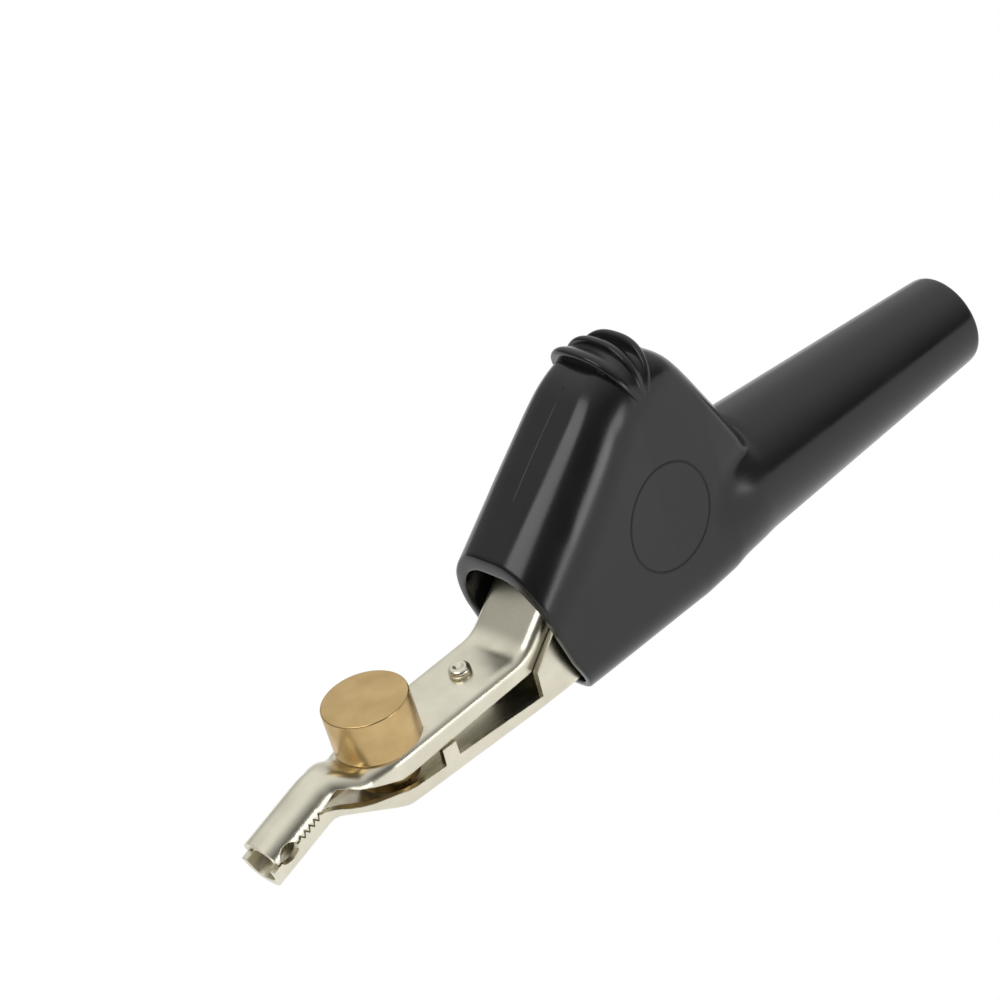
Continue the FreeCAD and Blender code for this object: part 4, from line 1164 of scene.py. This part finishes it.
def turned_brass(name):
    """Satin brass with fine rings on its end face and streaks down its side."""
    material, nodes, links, shader = new_material(name)
    coords = object_coordinates(nodes)
    smudged(nodes, links, shader, coords, 300, 5, BRASS_CLEAN, BRASS_WORN, 0.22, 0.36)
    shift = nodes.new("ShaderNodeVectorMath")
    shift.operation = "SUBTRACT"
    shift.inputs[1].default_value = place(BARREL_X, 0, 0)
    links.new(coords, shift.inputs[0])
    rings = nodes.new("ShaderNodeTexWave")
    rings.wave_type = "RINGS"
    rings.rings_direction = "Z"
    rings.inputs["Scale"].default_value = 900
    rings.inputs["Distortion"].default_value = 0.6
    links.new(shift.outputs["Vector"], rings.inputs["Vector"])
    turned_face = bumped(nodes, links, rings.outputs["Fac"], 0.12)
    streaks = grained(nodes, links, shift.outputs["Vector"], (1, 1, 0.03), 1600, 2)
    links.new(bumped(nodes, links, streaks, 0.16, turned_face), shader.inputs["Normal"])
    shader.inputs["Metallic"].default_value = 1.0
    return material


# Stage, lights and camera


def stage_floor():
    """Floor that catches shadows and looks white to the camera and in the metal."""
    bm = bmesh.new()
    bmesh.ops.create_grid(bm, x_segments=1, y_segments=1, size=FLOOR_HALF)
    mesh = bpy.data.meshes.new("floor")
    bm.to_mesh(mesh)
    bm.free()
    floor = bpy.data.objects.new("floor", mesh)
    bpy.context.scene.collection.objects.link(floor)
    floor.location.z = FLOOR_DROP
    material, nodes, links, shader = new_material("floor_white")
    shader.inputs["Base Color"].default_value = (FLOOR_GREY, FLOOR_GREY, FLOOR_GREY, 1)
    shader.inputs["Roughness"].default_value = 1.0
    shader.inputs["Specular IOR Level"].default_value = 0.0
    glow = nodes.new("ShaderNodeEmission")
    rays = nodes.new("ShaderNodeLightPath")
    camera_ray = rays.outputs["Is Camera Ray"]
    mix = nodes.new("ShaderNodeMixShader")
    lit = nodes.new("ShaderNodeMath")
    lit.operation = "MAXIMUM"
    links.new(camera_ray, lit.inputs[0])
    links.new(rays.outputs["Is Glossy Ray"], lit.inputs[1])
    links.new(lit.outputs["Value"], mix.inputs["Fac"])
    strength = ranged(nodes, links, camera_ray, FLOOR_GLOW, 1.0, 0.0, 1.0)
    links.new(strength, glow.inputs["Strength"])
    links.new(shader.outputs["BSDF"], mix.inputs[1])
    links.new(glow.outputs["Emission"], mix.inputs[2])
    links.new(mix.outputs["Shader"], nodes["Material Output"].inputs["Surface"])
    mesh.materials.append(material)


def studio_world():
    """White to the camera; behind the clip bright, and dark on the camera's side."""
    world = bpy.data.worlds.new("studio")
    bpy.context.scene.world = world
    world.use_nodes = True
    nodes = world.node_tree.nodes
    links = world.node_tree.links
    background = nodes["Background"]
    background.inputs["Color"].default_value = (1, 1, 1, 1)
    coords = nodes.new("ShaderNodeTexCoord")
    away = nodes.new("ShaderNodeVectorMath")
    away.operation = "DOT_PRODUCT"
    away.inputs[1].default_value = BRIGHT_SIDE
    links.new(coords.outputs["Generated"], away.inputs[0])
    level = ranged(nodes, links, away.outputs["Value"], 0.08, 0.82, 0.15, 0.85)
    rays = nodes.new("ShaderNodeLightPath")
    mix = nodes.new("ShaderNodeMix")
    mix.data_type = "FLOAT"
    links.new(rays.outputs["Is Camera Ray"], mix.inputs["Factor"])
    links.new(level, mix.inputs["A"])
    mix.inputs["B"].default_value = 1.0
    links.new(mix.outputs["Result"], background.inputs["Strength"])


def softbox(name, azimuth, elevation, distance, width, height, watts):
    """Area light aimed at the clip from a direction given in degrees."""
    light = bpy.data.lights.new(name, "AREA")
    light.shape = "RECTANGLE"
    light.size = width
    light.size_y = height
    light.energy = watts
    lamp = bpy.data.objects.new(name, light)
    bpy.context.scene.collection.objects.link(lamp)
    a = math.radians(azimuth)
    e = math.radians(elevation)
    out = Vector((math.cos(a) * math.cos(e), math.sin(a) * math.cos(e), math.sin(e)))
    lamp.location = LIGHT_AIM + out * distance
    lamp.rotation_euler = out.to_track_quat("Z", "Y").to_euler()


def add_camera():
    camera = bpy.data.cameras.new("photo_view")
    camera.lens = CAMERA_LENS
    camera.sensor_width = SENSOR
    camera.clip_start = 0.01
    camera.clip_end = 10.0
    obj = bpy.data.objects.new("photo_view", camera)
    bpy.context.scene.collection.objects.link(obj)
    obj.location = Vector(CAMERA_PLACE) * MM
    look = Vector(CAMERA_LOOK)
    turn = look.to_track_quat("-Z", "Y").to_matrix().to_4x4()
    roll = Matrix.Rotation(math.radians(CAMERA_ROLL), 4, "Z")
    obj.rotation_euler = (turn @ roll).to_euler()
    bpy.context.scene.camera = obj


add_camera()
stage_floor()
studio_world()
softbox("high_left", -172, 54, 0.6, 0.46, 0.22, 0.92)
softbox("low_side", -77, 3, 0.3, 0.12, 0.062, 0.095)

boot_black = rubber("boot_pvc", PVC_BLACK, 0.19)
# The ring's material is the PVC darkened as painted shade of the groove
groove_painted_shade = rubber("boot_groove_painted_shade", GROOVE_PAINTED_SHADE, 0.6)
nickel = plated("nickel", NICKEL_CLEAN, NICKEL_WORN, 0.23)
steel = plated("spring_wire", STEEL_CLEAN, STEEL_WORN, 0.28)
brass = turned_brass("brass_turned")

soft = [boot_body(boot_black)]
for number, (lean, height) in enumerate(RIDGES):
    soft.append(boot_ridge(number + 1, lean, height, boot_black))
soft += [boot_ring(-1, groove_painted_shade), boot_ring(1, groove_painted_shade), boot_seam(boot_black), torsion_spring(steel)]
for piece in soft:
    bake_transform(piece)
upper_jaw(nickel)
lower_jaw(nickel)
turned_pieces(nickel, steel, brass)

bpy.context.scene.view_settings.view_transform = "Standard"
